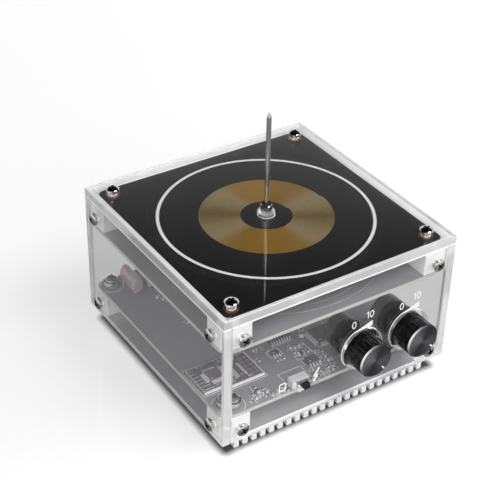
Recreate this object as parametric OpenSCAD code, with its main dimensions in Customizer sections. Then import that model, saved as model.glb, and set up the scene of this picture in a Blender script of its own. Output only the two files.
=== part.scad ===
// Desktop resonant transformer: a clear acrylic case on a finned heat sink,
// three stacked circuit boards, a flat spiral secondary, a primary below it,
// a discharge needle, two rotary controls and a slide switch.
// Millimetres. Origin at the centre of the heat sink's underside, +Z up,
// the controls face -Y.

/* [Boards] */
// Side of the three square circuit boards
board_w = 100; // [90:1:130]
// Thickness of the circuit boards
board_t = 1.6; // [1.2:0.1:2.4]
// Corner radius of the circuit boards
board_r = 3; // [1:0.5:4]
// Clear height between the main board and the primary board
bay_h = 29.4; // [20:0.2:45]
// Height of the plated pads under the top plate
pad_h = 0.4; // [0.4:0.05:0.8]

/* [Case] */
// Thickness of the acrylic sheets
sheet_t = 3.6; // [2.5:0.1:5]
// Gap between a board's edge and the sheet beside it
board_gap = 0.1; // [0.05:0.05:0.5]
// Side of the clear corner blocks
block_s = 10; // [9:0.5:14]
// How far the side sheets hang below the top of the heat sink's base
sheet_drop = 0.6; // [0.2:0.1:2]
// Clearance around the knobs where they pass through the front sheet
knob_hole_gap = 1.65; // [1:0.05:2.5]

/* [Heat sink] */
// Height of the fins
fin_h = 4; // [3:0.5:12]
// Thickness of the fins
fin_t = 2.4; // [1.5:0.1:3]
// Distance from one fin to the next
fin_pitch = 4.09; // [3.5:0.01:6]
// Thickness of the heat sink's base
base_t = 3.5; // [3:0.5:8]

/* [Fasteners] */
// Diameter of the screws
screw_d = 3; // [2.5:0.1:3.5]
// Diameter of the screw heads
head_d = 5.5; // [5:0.1:6.5]
// Height of the screw heads
head_h = 2; // [1.5:0.1:2.5]
// Length of thread that a screw has in a corner block from one face
thread_grip = 2.4; // [2:0.1:3]
// Height of the spacers under the main board's screws
spacer_h = 3; // [1.5:0.5:5]
// Diameter of those spacers
spacer_d = 6.8; // [6.6:0.1:8]

/* [Windings] */
// Outer diameter of the flat secondary
secondary_od = 55; // [50:1:70]
// Inner diameter of the flat secondary
secondary_id = 20.4; // [16:0.2:24]
// Turns drawn in the secondary
secondary_turns = 22; // [8:1:22]
// Width of the secondary's track
secondary_track = 0.3; // [0.2:0.02:0.3]
// Distance from the board's edge to the flat primary
primary_margin = 1.8; // [1:0.1:4]
// Turns of the primary
primary_turns = 3; // [2:1:4]
// Width of the primary's track
primary_track = 3; // [2:0.1:3]
// Distance from one primary turn to the next
primary_pitch = 3.6; // [3.5:0.1:4]
// Thickness of the tracks
track_t = 0.24; // [0.1:0.02:0.3]

/* [Needle] */
// Diameter of the discharge needle
needle_d = 1.9; // [1.5:0.1:2.5]
// Length of the needle above the top plate
needle_rise = 44.5; // [35:0.5:70]
// Depth of the needle in its socket
needle_depth = 7.6; // [5:0.1:9]
// Diameter of the socket's knurled barrel
socket_d = 4.6; // [4:0.1:6]
// Diameter of the socket's foot
socket_foot_d = 6.1; // [5.5:0.1:7.5]
// Height of the barrel above the top plate
socket_rise = 3.2; // [2:0.1:6]

/* [Controls] */
// Diameter of the knobs
knob_d = 15; // [12:0.5:16]
// Length of the knobs
knob_len = 17.8; // [14:0.2:22]
// How far the knobs stand out of the front sheet
knob_out = 8.6; // [6:0.2:12]
// Clearance between the knobs and the main board
knob_floor_gap = 0.5; // [0.3:0.1:2]
// Space between the two knobs
knob_space = 8.2; // [6:0.1:12]
// Distance from the right knob to the board's right edge
knob_margin = 8.4; // [8.4:0.1:14]
// Diameter of the potentiometer cans
pot_d = 14.4; // [12:0.2:15]
// Diameter of the potentiometer shafts
shaft_d = 6; // [5:0.1:6.5]
// Pointer's place on the left knob, in degrees from the right
pointer_1 = -51; // [-60:1:240]
// Pointer's place on the right knob, in degrees from the right
pointer_2 = -40; // [-60:1:240]

/* [Slide switch] */
// Width of the switch shell
switch_w = 7.6; // [7:0.1:10]
// Depth of the switch shell
switch_deep = 3.6; // [3.2:0.1:5]
// Height of the switch shell
switch_h = 3.7; // [3.5:0.1:5]
// Centre of the switch, from the middle
switch_x = -16.9; // [-20:0.1:-10]
// Width of the lever
lever_w = 2.7; // [2:0.1:3]
// Travel of the lever
lever_travel = 2; // [1.5:0.1:2.4]
// How far the lever stands out of the front sheet
lever_out = 1; // [0.5:0.1:3]

/* [Inlets] */
// Diameter of the audio socket's bore
audio_bore_d = 3.6; // [3.5:0.05:3.7]
// Diameter of the power socket's bore
power_bore_d = 6.3; // [5.6:0.1:6.5]
// Diameter of the power socket's pin
power_pin_d = 2.1; // [1.6:0.1:2.6]

/* [Hidden] */

$fn = 64;
// Small overlap that makes a cut go clean through
eps = 0.05;

// Colours
steel = [0.78, 0.78, 0.80];
acrylic = [0.86, 0.90, 0.93, 0.35];
board_black = [0.10, 0.10, 0.11];
gold = [0.80, 0.62, 0.32];
copper = [0.72, 0.55, 0.26];
black = [0.05, 0.05, 0.05];
grey = [0.30, 0.30, 0.32];
pad_grey = [0.62, 0.62, 0.60];
dipped_pink = [0.66, 0.52, 0.55];

// Plan
board_half = board_w / 2;
inner_half = board_half + board_gap;
outer_half = inner_half + sheet_t;
corner = inner_half - block_s / 2;

// Levels, from the table up
base_top = fin_h + base_t;
main_z = base_top + block_s;
main_top = main_z + board_t;
primary_z = main_top + bay_h;
primary_top = primary_z + board_t;
secondary_z = primary_top + block_s;
secondary_top = secondary_z + board_t;
plate_z = secondary_top + pad_h;
plate_top = plate_z + sheet_t;
sheet_z = base_top - sheet_drop;
block_low_mid = base_top + block_s / 2;
block_high_mid = primary_top + block_s / 2;

// Fits
hole_gap = 0.1;
tap_gap = 0.03;
running_gap = 0.05;
panel_fit = 0.05;
hole_r = screw_d / 2 + hole_gap;
tap_r = screw_d / 2 + tap_gap;

// Screws
recess_w = 0.55;
recess_l = 3;
recess_deep = 1;
rim_h = 1.2;
// Length of a board screw's thread in the heat sink
sink_grip = base_t - 0.3;

// Knobs and potentiometers
axis_z = main_top + max(knob_d, pot_d) / 2 + knob_floor_gap;
knob_x2 = board_half - knob_margin - knob_d / 2;
knob_x1 = knob_x2 - knob_d - knob_space;
knob_hole_d = knob_d + 2 * knob_hole_gap;
knob_face_y = -outer_half - knob_out;
knob_rear_y = knob_face_y + knob_len;
knob_chamfer = 0.7;
flute_count = 20;
flute_r = 0.4;
flute_margin = 1.6;
knob_socket_deep = 3.4;
pointer_w = 0.6;
pointer_l = 2.4;
pointer_deep = 0.3;
bush_wall = 0.5;
bush_d = shaft_d + 2 * running_gap + 2 * bush_wall;
bush_gap = 0.6;
bush_room = 1.6;
knob_socket_d = bush_d + 2 * bush_room;
bush_len = knob_socket_deep + 2.4;
pot_y = knob_rear_y + bush_len - knob_socket_deep + bush_gap;
pot_len = 7;
pot_wall = 1.2;
rotor_d = shaft_d + 3;
rotor_t = 2;
rotor_gap = 0.3;
shaft_flat = shaft_d / 4;
shaft_grip = 8;
flat_len = shaft_grip - 1;
shaft_front_y = knob_rear_y - knob_socket_deep - shaft_grip;
terminal_w = 12.4;
terminal_t = 1.8;

// Slide switch
switch_wall = 0.3;
switch_base_t = 0.35;
lever_h = switch_h - 2 * switch_wall - 0.4;
lever_z = main_top + switch_base_t + 0.1;
lever_gap = 0.15;
slot_gap = 0.4;
slider_w = lever_w + 1.6;
switch_front_y = -board_half + 0.4;
slot_wall_y = switch_front_y + switch_wall;
lever_rest_x = switch_x + lever_travel / 2;

// Windings
rings_per_turn = 24;
primary_r_out = board_half - primary_margin - primary_track / 2;
primary_r_in = primary_r_out - primary_turns * primary_pitch;
secondary_r_in = secondary_id / 2 + secondary_track / 2;
secondary_r_out = secondary_od / 2 - secondary_track / 2;
secondary_pitch = (secondary_r_out - secondary_r_in) / secondary_turns;

// Needle
socket_bore_r = needle_d / 2 + running_gap;
socket_top = plate_top + socket_rise;
socket_foot_h = 1.2;
socket_tail_d = needle_d + 1.3;
socket_tail_len = 2.6;
socket_hole_gap = 0.35;
needle_bottom = socket_top - needle_depth;
needle_tip_l = 2.2;
needle_tip_r = 0.12;
ring_t = 0.55;
ring_d = socket_d - 0.4;
knurl_count = 24;
knurl_r = 0.14;

// Inlets, at the back
audio_x = -board_half + 28;
power_x = board_half - 26;
audio_w = 12;
audio_h = 6;
audio_deep = 14;
audio_nose_d = 6;
audio_bore_len = 13;
power_w = 9;
power_h = 11;
power_deep = 14;
power_bore_len = 9.5;
power_axis_z = main_top + 6.4;
audio_axis_z = main_top + audio_h / 2;
inlet_hole_gap = 0.3;
inlet_pin_root = 3;
inlet_pin_inset = 1;
power_mouth_y = outer_half - 0.6;
audio_mouth_y = outer_half;
audio_body_y = inner_half - 0.2;
power_window_w = power_w + 2 * inlet_hole_gap;

// Transistors on the heat sink, below the main board
transistor_x = 20;
transistor_y = 8;
tab_w = 10;
tab_l = 6.4;
tab_t = 1.3;
package_l = 9.2;
package_t = 4.5;
pad_t = 0.3;
pad_rim = 0.5;
lead_w = 0.8;
lead_pitch = 2.54;
lead_run = 4;
lead_z = 2.2;

// Pillars that feed the primary, just inside its inner turn
pillar_af = 5.5;
pillar_grip = 5;
pillar_space = 3;
pillar_angle = 60;
pillar_ring_r = primary_r_in - primary_track / 2 - head_d / 2 - pillar_space;
pillar_x = pillar_ring_r * cos(pillar_angle);
pillar_y = pillar_ring_r * sin(pillar_angle);

// Receiver module: place from the left and front edges, size, and its two chips
// as [x, y, width, depth, height] on it
module_place = [1.3, 13.4];
module_size = [24, 15.6, 1];
module_chips = [[4, 4.2, 6.6, 6.6, 0.9], [14, 2.4, 3.2, 8.4, 0.8]];

// Chips as [x, distance from the front edge, width, depth, height]
chips = [[-8, 31, 10.2, 7.4, 2.2], [8.5, 21.8, 8.6, 8.6, 1.8], [-4.4, 10.6, 5, 4, 1.6]];

// Dipped capacitors as [right of the rear left screw, in front of it, thickness, width, height]
dipped = [[6.5, 5.7, 5, 12.4, 8.6], [13.7, 6.1, 4, 8.6, 6.4]];
dipped_wire_d = 0.7;
dipped_lift = 1.4;

// Electrolytic capacitors
can_r = 5;
can_h = 16;
can_inset = 16;
can_y = [8, 22];
can_crimp_z = 1.2;
can_crimp_r = 0.6;

// Shared shapes ------------------------------------------------------------

// Repeats the children at the four corners
module corners(at = corner) {
    for (x = [-at, at], y = [-at, at]) translate([x, y, 0]) children();
}

// A pan-head screw with a cross recess: head above z = 0, thread below
module screw(grip) {
    dome_sag = head_h - rim_h;
    dome_r = (pow(head_d / 2, 2) + pow(dome_sag, 2)) / (2 * dome_sag);
    difference() {
        union() {
            intersection() {
                cylinder(d = head_d, h = head_h);
                translate([0, 0, head_h - dome_r]) sphere(r = dome_r);
            }
            translate([0, 0, -grip]) cylinder(d = screw_d, h = grip + eps);
        }
        for (turn = [0, 90]) rotate([0, 0, turn])
            translate([-recess_l / 2, -recess_w / 2, head_h - recess_deep])
                cube([recess_l, recess_w, recess_deep + eps]);
    }
}

// A square board with round corners, its underside at z = 0
module board_blank(w, t, r) {
    linear_extrude(t) square_rounded(w, r);
}

module square_rounded(w, r) {
    union() {
        square([w - 2 * r, w], center = true);
        square([w, w - 2 * r], center = true);
        for (x = [-1, 1], y = [-1, 1]) translate([x * (w / 2 - r), y * (w / 2 - r)]) circle(r = r);
    }
}

// A clear corner block, its lower face at z = 0, tapped in three directions.
// Its two outer faces lie against the side sheets.
module corner_blocks(vertical_r) {
    for (x = [-1, 1], y = [-1, 1]) translate([x * corner, y * corner, 0]) difference() {
        translate([-block_s / 2, -block_s / 2, 0]) cube(block_s);
        translate([0, 0, -eps]) cylinder(r = vertical_r, h = block_s + 2 * eps);
        translate([0, y * block_s / 2, block_s / 2]) rotate([y * 90, 0, 0])
            translate([0, 0, -eps]) cylinder(r = tap_r, h = thread_grip + 0.3);
        translate([x * block_s / 2, 0, block_s / 2]) rotate([0, -x * 90, 0])
            translate([0, 0, -eps]) cylinder(r = tap_r, h = thread_grip + 0.3);
    }
}

// A point of a flat spiral that starts at radius r0 and changes by pitch each turn
function spiral_point(r0, pitch, angle) =
    let (r = r0 + pitch * angle / 360) [r * cos(angle), r * sin(angle)];

// The six corners of a flat track's section, as [outwards, up]
function track_section(w, t) = [
    [w / 2, t / 2], [w / 2 - t / 2, t], [t / 2 - w / 2, t],
    [-w / 2, t / 2], [t / 2 - w / 2, 0], [w / 2 - t / 2, 0]
];

// One unbroken flat spiral track as a single closed tube, lying on z = 0
module spiral_track(r0, pitch, turns, w, t) {
    section = track_section(w, t);
    sides = len(section);
    steps = turns * rings_per_turn;
    points = [for (i = [0:steps]) let (
            a = i * 360 / rings_per_turn,
            c = spiral_point(r0, pitch, a)
        ) for (s = section) [c[0] + s[0] * cos(a), c[1] + s[0] * sin(a), s[1]]];
    walls = [for (i = [0:steps - 1], k = [0:sides - 1]) let (
            a = i * sides + k,
            b = i * sides + (k + 1) % sides,
            c = a + sides,
            d = b + sides
        ) each [[a, b, c], [b, d, c]]];
    start = [for (k = [1:sides - 2]) [0, k + 1, k]];
    end = [for (k = [1:sides - 2]) [steps * sides, steps * sides + k, steps * sides + k + 1]];
    gaps = [for (i = [0:steps - rings_per_turn]) let (
            here = spiral_point(r0, pitch, i * 360 / rings_per_turn),
            next = spiral_point(r0, pitch, i * 360 / rings_per_turn + 360)
        ) norm(next - here) - w];
    echo("least gap between turns, mm", min(gaps));
    polyhedron(points = points, faces = concat(walls, start, end), convexity = 10);
}

// Heat sink and blocks -----------------------------------------------------

module heat_sink() {
    fins = floor((board_w - fin_t) / 2 / fin_pitch);
    color(steel) difference() {
        union() {
            translate([-board_half, -board_half, fin_h]) cube([board_w, board_w, base_t]);
            for (i = [-fins:fins])
                translate([i * fin_pitch - fin_t / 2, -board_half, 0])
                    cube([fin_t, board_w, fin_h + eps]);
        }
        corners() translate([0, 0, base_top - sink_grip - 0.1])
            cylinder(r = tap_r, h = sink_grip + 0.1 + eps);
        for (x = [-transistor_x, transistor_x])
            translate([x, transistor_y - tab_l / 2, base_top - sink_grip])
                cylinder(r = tap_r, h = sink_grip + eps);
    }
}

module lower_corner_blocks() {
    color(acrylic) translate([0, 0, base_top]) corner_blocks(hole_r);
}

module upper_corner_blocks() {
    color(acrylic) translate([0, 0, primary_top]) corner_blocks(tap_r);
}

// Boards -------------------------------------------------------------------

module main_board() {
    color(board_black) translate([0, 0, main_z]) difference() {
        board_blank(board_w, board_t, board_r);
        corners() translate([0, 0, -eps]) cylinder(r = hole_r, h = board_t + 2 * eps);
        for (x = [-pillar_x, pillar_x]) translate([x, pillar_y, -eps])
            cylinder(r = hole_r, h = board_t + 2 * eps);
    }
}

module board_spacers() {
    color(steel) corners() translate([0, 0, main_top]) difference() {
        cylinder(d = spacer_d, h = spacer_h);
        translate([0, 0, -eps]) cylinder(r = hole_r, h = spacer_h + 2 * eps);
    }
}

module board_screws() {
    color(steel) corners() translate([0, 0, main_top + spacer_h])
        screw(spacer_h + board_t + block_s + sink_grip - 0.2);
}

module primary_board() {
    color(board_black) translate([0, 0, primary_z]) difference() {
        board_blank(board_w, board_t, board_r);
        corners() translate([0, 0, -eps]) cylinder(r = hole_r, h = board_t + 2 * eps);
        for (x = [-pillar_x, pillar_x]) translate([x, pillar_y, -eps])
            cylinder(r = hole_r, h = board_t + 2 * eps);
    }
}

module primary_winding() {
    color(grey) translate([0, 0, primary_top]) rotate([0, 0, 90])
        spiral_track(primary_r_in, primary_pitch, primary_turns, primary_track, track_t);
}

module primary_board_screws() {
    color(steel) corners() translate([0, 0, primary_z]) rotate([180, 0, 0])
        screw(board_t + thread_grip + 1);
}

module secondary_board() {
    color(board_black) translate([0, 0, secondary_z]) difference() {
        board_blank(board_w, board_t, board_r);
        corners() translate([0, 0, -eps]) cylinder(r = hole_r, h = board_t + 2 * eps);
        translate([0, 0, -eps]) cylinder(d = socket_tail_d + 2 * hole_gap, h = board_t + 2 * eps);
    }
}

module secondary_winding() {
    color(copper) translate([0, 0, secondary_top])
        spiral_track(secondary_r_in, secondary_pitch, secondary_turns, secondary_track, track_t);
}

module corner_pads() {
    color(gold) corners() translate([0, 0, secondary_top]) difference() {
        cylinder(d = head_d + 0.4, h = pad_h);
        translate([0, 0, -eps]) cylinder(r = hole_r, h = pad_h + 2 * eps);
    }
}

// Case ---------------------------------------------------------------------

module top_plate() {
    color(acrylic) translate([0, 0, plate_z]) difference() {
        translate([-outer_half, -outer_half, 0]) cube([2 * outer_half, 2 * outer_half, sheet_t]);
        corners() translate([0, 0, -eps]) cylinder(r = hole_r, h = sheet_t + 2 * eps);
        translate([0, 0, -eps])
            cylinder(d = socket_foot_d + 2 * socket_hole_gap, h = sheet_t + 2 * eps);
    }
}

module top_screws() {
    color(steel) corners() translate([0, 0, plate_top])
        screw(sheet_t + pad_h + board_t + thread_grip + 1.6);
}

// A side sheet stands in the XZ plane with its inner face at y = 0, outside towards -Y
module side_sheet(w) {
    difference() {
        translate([-w / 2, -sheet_t, sheet_z]) cube([w, sheet_t, plate_z - sheet_z]);
        for (x = [-corner, corner], z = [block_low_mid, block_high_mid])
            translate([x, eps, z]) rotate([90, 0, 0]) cylinder(r = hole_r, h = sheet_t + 2 * eps);
    }
}

module front_panel() {
    slot_w = lever_w + lever_travel + 2 * slot_gap;
    color(acrylic) difference() {
        translate([0, -inner_half, 0]) side_sheet(2 * (inner_half - panel_fit));
        for (x = [knob_x1, knob_x2])
            translate([x, -inner_half + eps, axis_z]) rotate([90, 0, 0])
                cylinder(d = knob_hole_d, h = sheet_t + 2 * eps);
        translate([switch_x - slot_w / 2, -outer_half - eps, lever_z - slot_gap])
            cube([slot_w, sheet_t + 2 * eps, lever_h + 2 * slot_gap]);
    }
}

module back_panel() {
    color(acrylic) difference() {
        rotate([0, 0, 180]) translate([0, -inner_half, 0]) side_sheet(2 * (inner_half - panel_fit));
        translate([audio_x, outer_half + eps, audio_axis_z]) rotate([90, 0, 0])
            cylinder(d = audio_nose_d + 2 * inlet_hole_gap, h = sheet_t + 2 * eps);
        translate([power_x - power_window_w / 2, inner_half - eps, main_top - inlet_hole_gap])
            cube([power_window_w, sheet_t + 2 * eps, power_h + 2 * inlet_hole_gap]);
    }
}

module left_panel() {
    color(acrylic) rotate([0, 0, -90]) translate([0, -inner_half, 0]) side_sheet(2 * outer_half);
}

module right_panel() {
    color(acrylic) rotate([0, 0, 90]) translate([0, -inner_half, 0]) side_sheet(2 * outer_half);
}

// The four screws of one side sheet, for the sheet that faces -Y
module side_screws() {
    for (x = [-corner, corner], z = [block_low_mid, block_high_mid])
        translate([x, -outer_half, z]) rotate([90, 0, 0]) screw(sheet_t + thread_grip);
}

module front_panel_screws() { color(steel) side_screws(); }
module back_panel_screws() { color(steel) rotate([0, 0, 180]) side_screws(); }
module left_panel_screws() { color(steel) rotate([0, 0, -90]) side_screws(); }
module right_panel_screws() { color(steel) rotate([0, 0, 90]) side_screws(); }

// Needle -------------------------------------------------------------------

module needle_socket() {
    color(steel) difference() {
        union() {
            translate([0, 0, secondary_top]) cylinder(d = socket_foot_d, h = socket_foot_h);
            translate([0, 0, secondary_top]) cylinder(d = socket_d, h = socket_top - secondary_top);
            translate([0, 0, secondary_z - socket_tail_len])
                cylinder(d = socket_tail_d, h = socket_tail_len + board_t + eps);
        }
        translate([0, 0, needle_bottom - 0.2])
            cylinder(r = socket_bore_r, h = socket_top - needle_bottom + 0.2 + eps);
        for (i = [0:knurl_count - 1]) rotate([0, 0, i * 360 / knurl_count])
            translate([socket_d / 2 + knurl_r / 3, 0, plate_top + 0.3])
                cylinder(r = knurl_r, h = socket_rise, $fn = 16);
    }
}

module socket_ring() {
    color(black) translate([0, 0, socket_top]) difference() {
        cylinder(d = ring_d, h = ring_t);
        translate([0, 0, -eps]) cylinder(r = socket_bore_r + 0.1, h = ring_t + 2 * eps);
    }
}

module discharge_needle() {
    tip_z = plate_top + needle_rise;
    color(steel) union() {
        translate([0, 0, needle_bottom])
            cylinder(d = needle_d, h = tip_z - needle_tip_l - needle_bottom);
        translate([0, 0, tip_z - needle_tip_l])
            cylinder(r1 = needle_d / 2, r2 = needle_tip_r, h = needle_tip_l);
    }
}

// Controls -----------------------------------------------------------------

// Turns a shape made along +Z so that it points at the viewer from y
module facing_front(x, y) {
    translate([x, y, axis_z]) rotate([90, 0, 0]) children();
}

module control_body(x) {
    color(grey) difference() {
        union() {
            facing_front(x, pot_y + pot_len) cylinder(d = pot_d, h = pot_len);
            facing_front(x, pot_y + eps) cylinder(d = bush_d, h = bush_len + eps);
            translate([x - terminal_w / 2, pot_y, main_top])
                cube([terminal_w, terminal_t, axis_z - main_top]);
        }
        facing_front(x, pot_y + pot_len - pot_wall)
            cylinder(d = shaft_d + 2 * running_gap, h = pot_len - pot_wall + bush_len + eps);
        facing_front(x, pot_y + pot_len - pot_wall)
            cylinder(d = rotor_d + 2 * rotor_gap, h = rotor_t + 2 * rotor_gap);
    }
}

module control_shaft(x) {
    shaft_rear = pot_y + pot_len - pot_wall - rotor_gap;
    color(steel) difference() {
        union() {
            facing_front(x, shaft_rear) cylinder(d = shaft_d, h = shaft_rear - shaft_front_y);
            facing_front(x, shaft_rear) cylinder(d = rotor_d, h = rotor_t);
        }
        translate([x - shaft_d / 2, shaft_front_y - eps, axis_z + shaft_flat])
            cube([shaft_d, flat_len + eps, shaft_d]);
    }
}

module knob(x, pointer) {
    bore_len = knob_rear_y + eps - shaft_front_y + 0.3;
    color(black) difference() {
        union() {
            facing_front(x, knob_rear_y) cylinder(d = knob_d, h = knob_len - knob_chamfer);
            facing_front(x, knob_face_y + knob_chamfer)
                cylinder(d1 = knob_d, d2 = knob_d - 2 * knob_chamfer, h = knob_chamfer);
        }
        facing_front(x, knob_rear_y + eps) cylinder(d = knob_socket_d, h = knob_socket_deep + eps);
        difference() {
            facing_front(x, knob_rear_y + eps) cylinder(d = shaft_d + 2 * tap_gap, h = bore_len);
            translate([x - shaft_d, shaft_front_y - 1, axis_z + shaft_flat + tap_gap])
                cube([2 * shaft_d, flat_len + 1 - running_gap, shaft_d]);
        }
        for (i = [0:flute_count - 1]) facing_front(x, knob_rear_y - flute_margin)
            rotate([0, 0, (i + 0.5) * 360 / flute_count]) translate([knob_d / 2 + flute_r / 3, 0, 0])
                cylinder(r = flute_r, h = knob_len - 2 * flute_margin - knob_chamfer, $fn = 16);
        facing_front(x, knob_face_y + pointer_deep) rotate([0, 0, pointer])
            translate([knob_d / 2 - pointer_l, -pointer_w / 2, 0])
                cube([pointer_l + eps, pointer_w, pointer_deep + eps]);
    }
}

module power_control_body() { control_body(knob_x1); }
module power_control_shaft() { control_shaft(knob_x1); }
module power_knob() { knob(knob_x1, pointer_1); }
module pitch_control_body() { control_body(knob_x2); }
module pitch_control_shaft() { control_shaft(knob_x2); }
module pitch_knob() { knob(knob_x2, pointer_2); }

// Slide switch -------------------------------------------------------------

module switch_shell() {
    slot_w = lever_w + lever_travel + 2 * lever_gap;
    color(steel) translate([switch_x - switch_w / 2, switch_front_y, main_top]) difference() {
        cube([switch_w, switch_deep, switch_h]);
        translate([switch_wall, switch_wall, -eps])
            cube([switch_w - 2 * switch_wall, switch_deep - 2 * switch_wall, switch_h - switch_wall + eps]);
        translate([(switch_w - slot_w) / 2, -eps, lever_z - main_top - lever_gap])
            cube([slot_w, switch_wall + 2 * eps, lever_h + 2 * lever_gap]);
    }
}

module switch_base() {
    color(grey) translate([switch_x - switch_w / 2 + switch_wall, slot_wall_y, main_top])
        cube([switch_w - 2 * switch_wall, switch_deep - 2 * switch_wall, switch_base_t]);
}

module switch_lever() {
    stem_y = -outer_half - lever_out;
    slider_deep = switch_deep - 2 * switch_wall - 0.3;
    color(black) union() {
        translate([lever_rest_x - lever_w / 2, stem_y, lever_z])
            cube([lever_w, slot_wall_y + 1 - stem_y, lever_h]);
        translate([lever_rest_x - slider_w / 2, slot_wall_y + 0.1, lever_z])
            cube([slider_w, slider_deep, lever_h]);
    }
}

// Parts on the main board --------------------------------------------------

// A daughter board with its two chips, flat on the main board
module receiver_module() {
    color(board_black)
        translate([module_place[0] - board_half, module_place[1] - board_half, main_top]) union() {
            cube(module_size);
            for (c = module_chips) translate([c[0], c[1], module_size[2] - eps])
                cube([c[2], c[3], c[4] + eps]);
        }
}

module driver_chips() {
    color(black) for (c = chips)
        translate([c[0] - c[2] / 2, c[1] - board_half - c[3] / 2, main_top]) cube([c[2], c[3], c[4]]);
}

// Each stands on two wires
module film_capacitors() {
    color(dipped_pink) for (c = dipped)
        translate([c[0] - corner, corner - c[1], main_top]) union() {
            r = c[2] / 2;
            wire_y = c[3] / 2 - r;
            translate([-r, -wire_y, dipped_lift]) cube([c[2], 2 * wire_y, c[4]]);
            for (y = [-wire_y, wire_y]) translate([0, y, 0]) {
                translate([0, 0, dipped_lift]) cylinder(r = r, h = c[4]);
                cylinder(d = dipped_wire_d, h = dipped_lift + eps);
            }
        }
}

module electrolytic_capacitors() {
    color(black) for (y = can_y) translate([board_half - can_inset, y, main_top]) difference() {
        cylinder(r = can_r, h = can_h);
        translate([0, 0, can_crimp_z]) rotate_extrude()
            translate([can_r + can_crimp_r / 2, 0]) circle(r = can_crimp_r);
    }
}

module power_transistors() {
    color(black) for (x = [-transistor_x, transistor_x])
        translate([x, transistor_y, base_top + pad_t]) {
            difference() {
                union() {
                    translate([-tab_w / 2, -tab_l, 0]) cube([tab_w, tab_l + eps, tab_t]);
                    translate([-tab_w / 2, 0, 0]) cube([tab_w, package_l, package_t]);
                    for (i = [-1:1]) {
                        translate([i * lead_pitch - lead_w / 2, package_l - eps, lead_z])
                            cube([lead_w, lead_run + eps, lead_w]);
                        translate([i * lead_pitch - lead_w / 2, package_l + lead_run - lead_w, lead_z])
                            cube([lead_w, lead_w, block_s - pad_t - lead_z]);
                    }
                }
                translate([0, -tab_l / 2, -eps]) cylinder(r = hole_r, h = tab_t + 2 * eps);
            }
        }
}

module transistor_pads() {
    color(pad_grey) for (x = [-transistor_x, transistor_x])
        translate([x, transistor_y, base_top]) difference() {
            translate([-tab_w / 2 - pad_rim, -tab_l - pad_rim, 0])
                cube([tab_w + 2 * pad_rim, tab_l + package_l + 2 * pad_rim, pad_t]);
            translate([0, -tab_l / 2, -eps]) cylinder(r = hole_r, h = pad_t + 2 * eps);
        }
}

module transistor_screws() {
    color(steel) for (x = [-transistor_x, transistor_x])
        translate([x, transistor_y - tab_l / 2, base_top + pad_t + tab_t])
            screw(pad_t + tab_t + sink_grip - 0.3);
}

module feed_pillars() {
    color(gold) for (x = [-pillar_x, pillar_x]) translate([x, pillar_y, main_top]) difference() {
        cylinder(d = pillar_af / cos(30), h = bay_h, $fn = 6);
        translate([0, 0, -eps]) cylinder(r = tap_r, h = bay_h + 2 * eps);
    }
}

module pillar_screws() {
    color(steel) for (x = [-pillar_x, pillar_x]) translate([x, pillar_y, 0]) {
        translate([0, 0, primary_top]) screw(board_t + pillar_grip);
        translate([0, 0, main_z]) rotate([180, 0, 0]) screw(board_t + pillar_grip);
    }
}

// Inlets at the back -------------------------------------------------------

// Turns a shape made along +Z so that it points out of the back
module facing_back(x, y, z) {
    translate([x, y, z]) rotate([-90, 0, 0]) children();
}

module power_inlet() {
    color(black) difference() {
        translate([power_x - power_w / 2, power_mouth_y - power_deep, main_top])
            cube([power_w, power_deep, power_h]);
        facing_back(power_x, power_mouth_y - power_bore_len, power_axis_z)
            cylinder(d = power_bore_d, h = power_bore_len + eps);
        facing_back(power_x, power_mouth_y - power_bore_len - inlet_pin_root, power_axis_z)
            cylinder(d = power_pin_d, h = inlet_pin_root + eps);
    }
}

module power_inlet_pin() {
    color(steel) facing_back(power_x, power_mouth_y - power_bore_len - inlet_pin_root, power_axis_z)
        cylinder(d = power_pin_d, h = power_bore_len + inlet_pin_root - inlet_pin_inset);
}

module audio_inlet() {
    color(black) difference() {
        union() {
            translate([audio_x - audio_w / 2, audio_body_y - audio_deep, main_top])
                cube([audio_w, audio_deep, audio_h]);
            facing_back(audio_x, audio_body_y - eps, audio_axis_z)
                cylinder(d = audio_nose_d, h = audio_mouth_y - audio_body_y + eps);
        }
        facing_back(audio_x, audio_mouth_y - audio_bore_len, audio_axis_z)
            cylinder(d = audio_bore_d, h = audio_bore_len + eps);
    }
}

heat_sink();
lower_corner_blocks();
upper_corner_blocks();
main_board();
board_spacers();
board_screws();
primary_board();
primary_winding();
primary_board_screws();
secondary_board();
secondary_winding();
corner_pads();
top_plate();
top_screws();
front_panel();
back_panel();
left_panel();
right_panel();
front_panel_screws();
back_panel_screws();
left_panel_screws();
right_panel_screws();
needle_socket();
socket_ring();
discharge_needle();
power_control_body();
power_control_shaft();
power_knob();
pitch_control_body();
pitch_control_shaft();
pitch_knob();
switch_shell();
switch_base();
switch_lever();
receiver_module();
driver_chips();
film_capacitors();
electrolytic_capacitors();
power_transistors();
transistor_pads();
transistor_screws();
feed_pillars();
pillar_screws();
power_inlet();
power_inlet_pin();
audio_inlet();
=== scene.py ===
"""Desktop resonant transformer: the finish of every piece, its small parts, and a pale studio.

Sizes are in millimetres up to the point where a mesh or a lamp is handed over in metres. The frame
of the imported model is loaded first, and every size that depends on it is read from it.
"""

from __future__ import annotations

import logging
import math
from dataclasses import dataclass, field
from enum import Enum
from functools import cached_property
from itertools import accumulate
from random import Random
from typing import Iterable, Sequence

import bmesh
import bpy
from mathutils import Matrix, Vector

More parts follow.
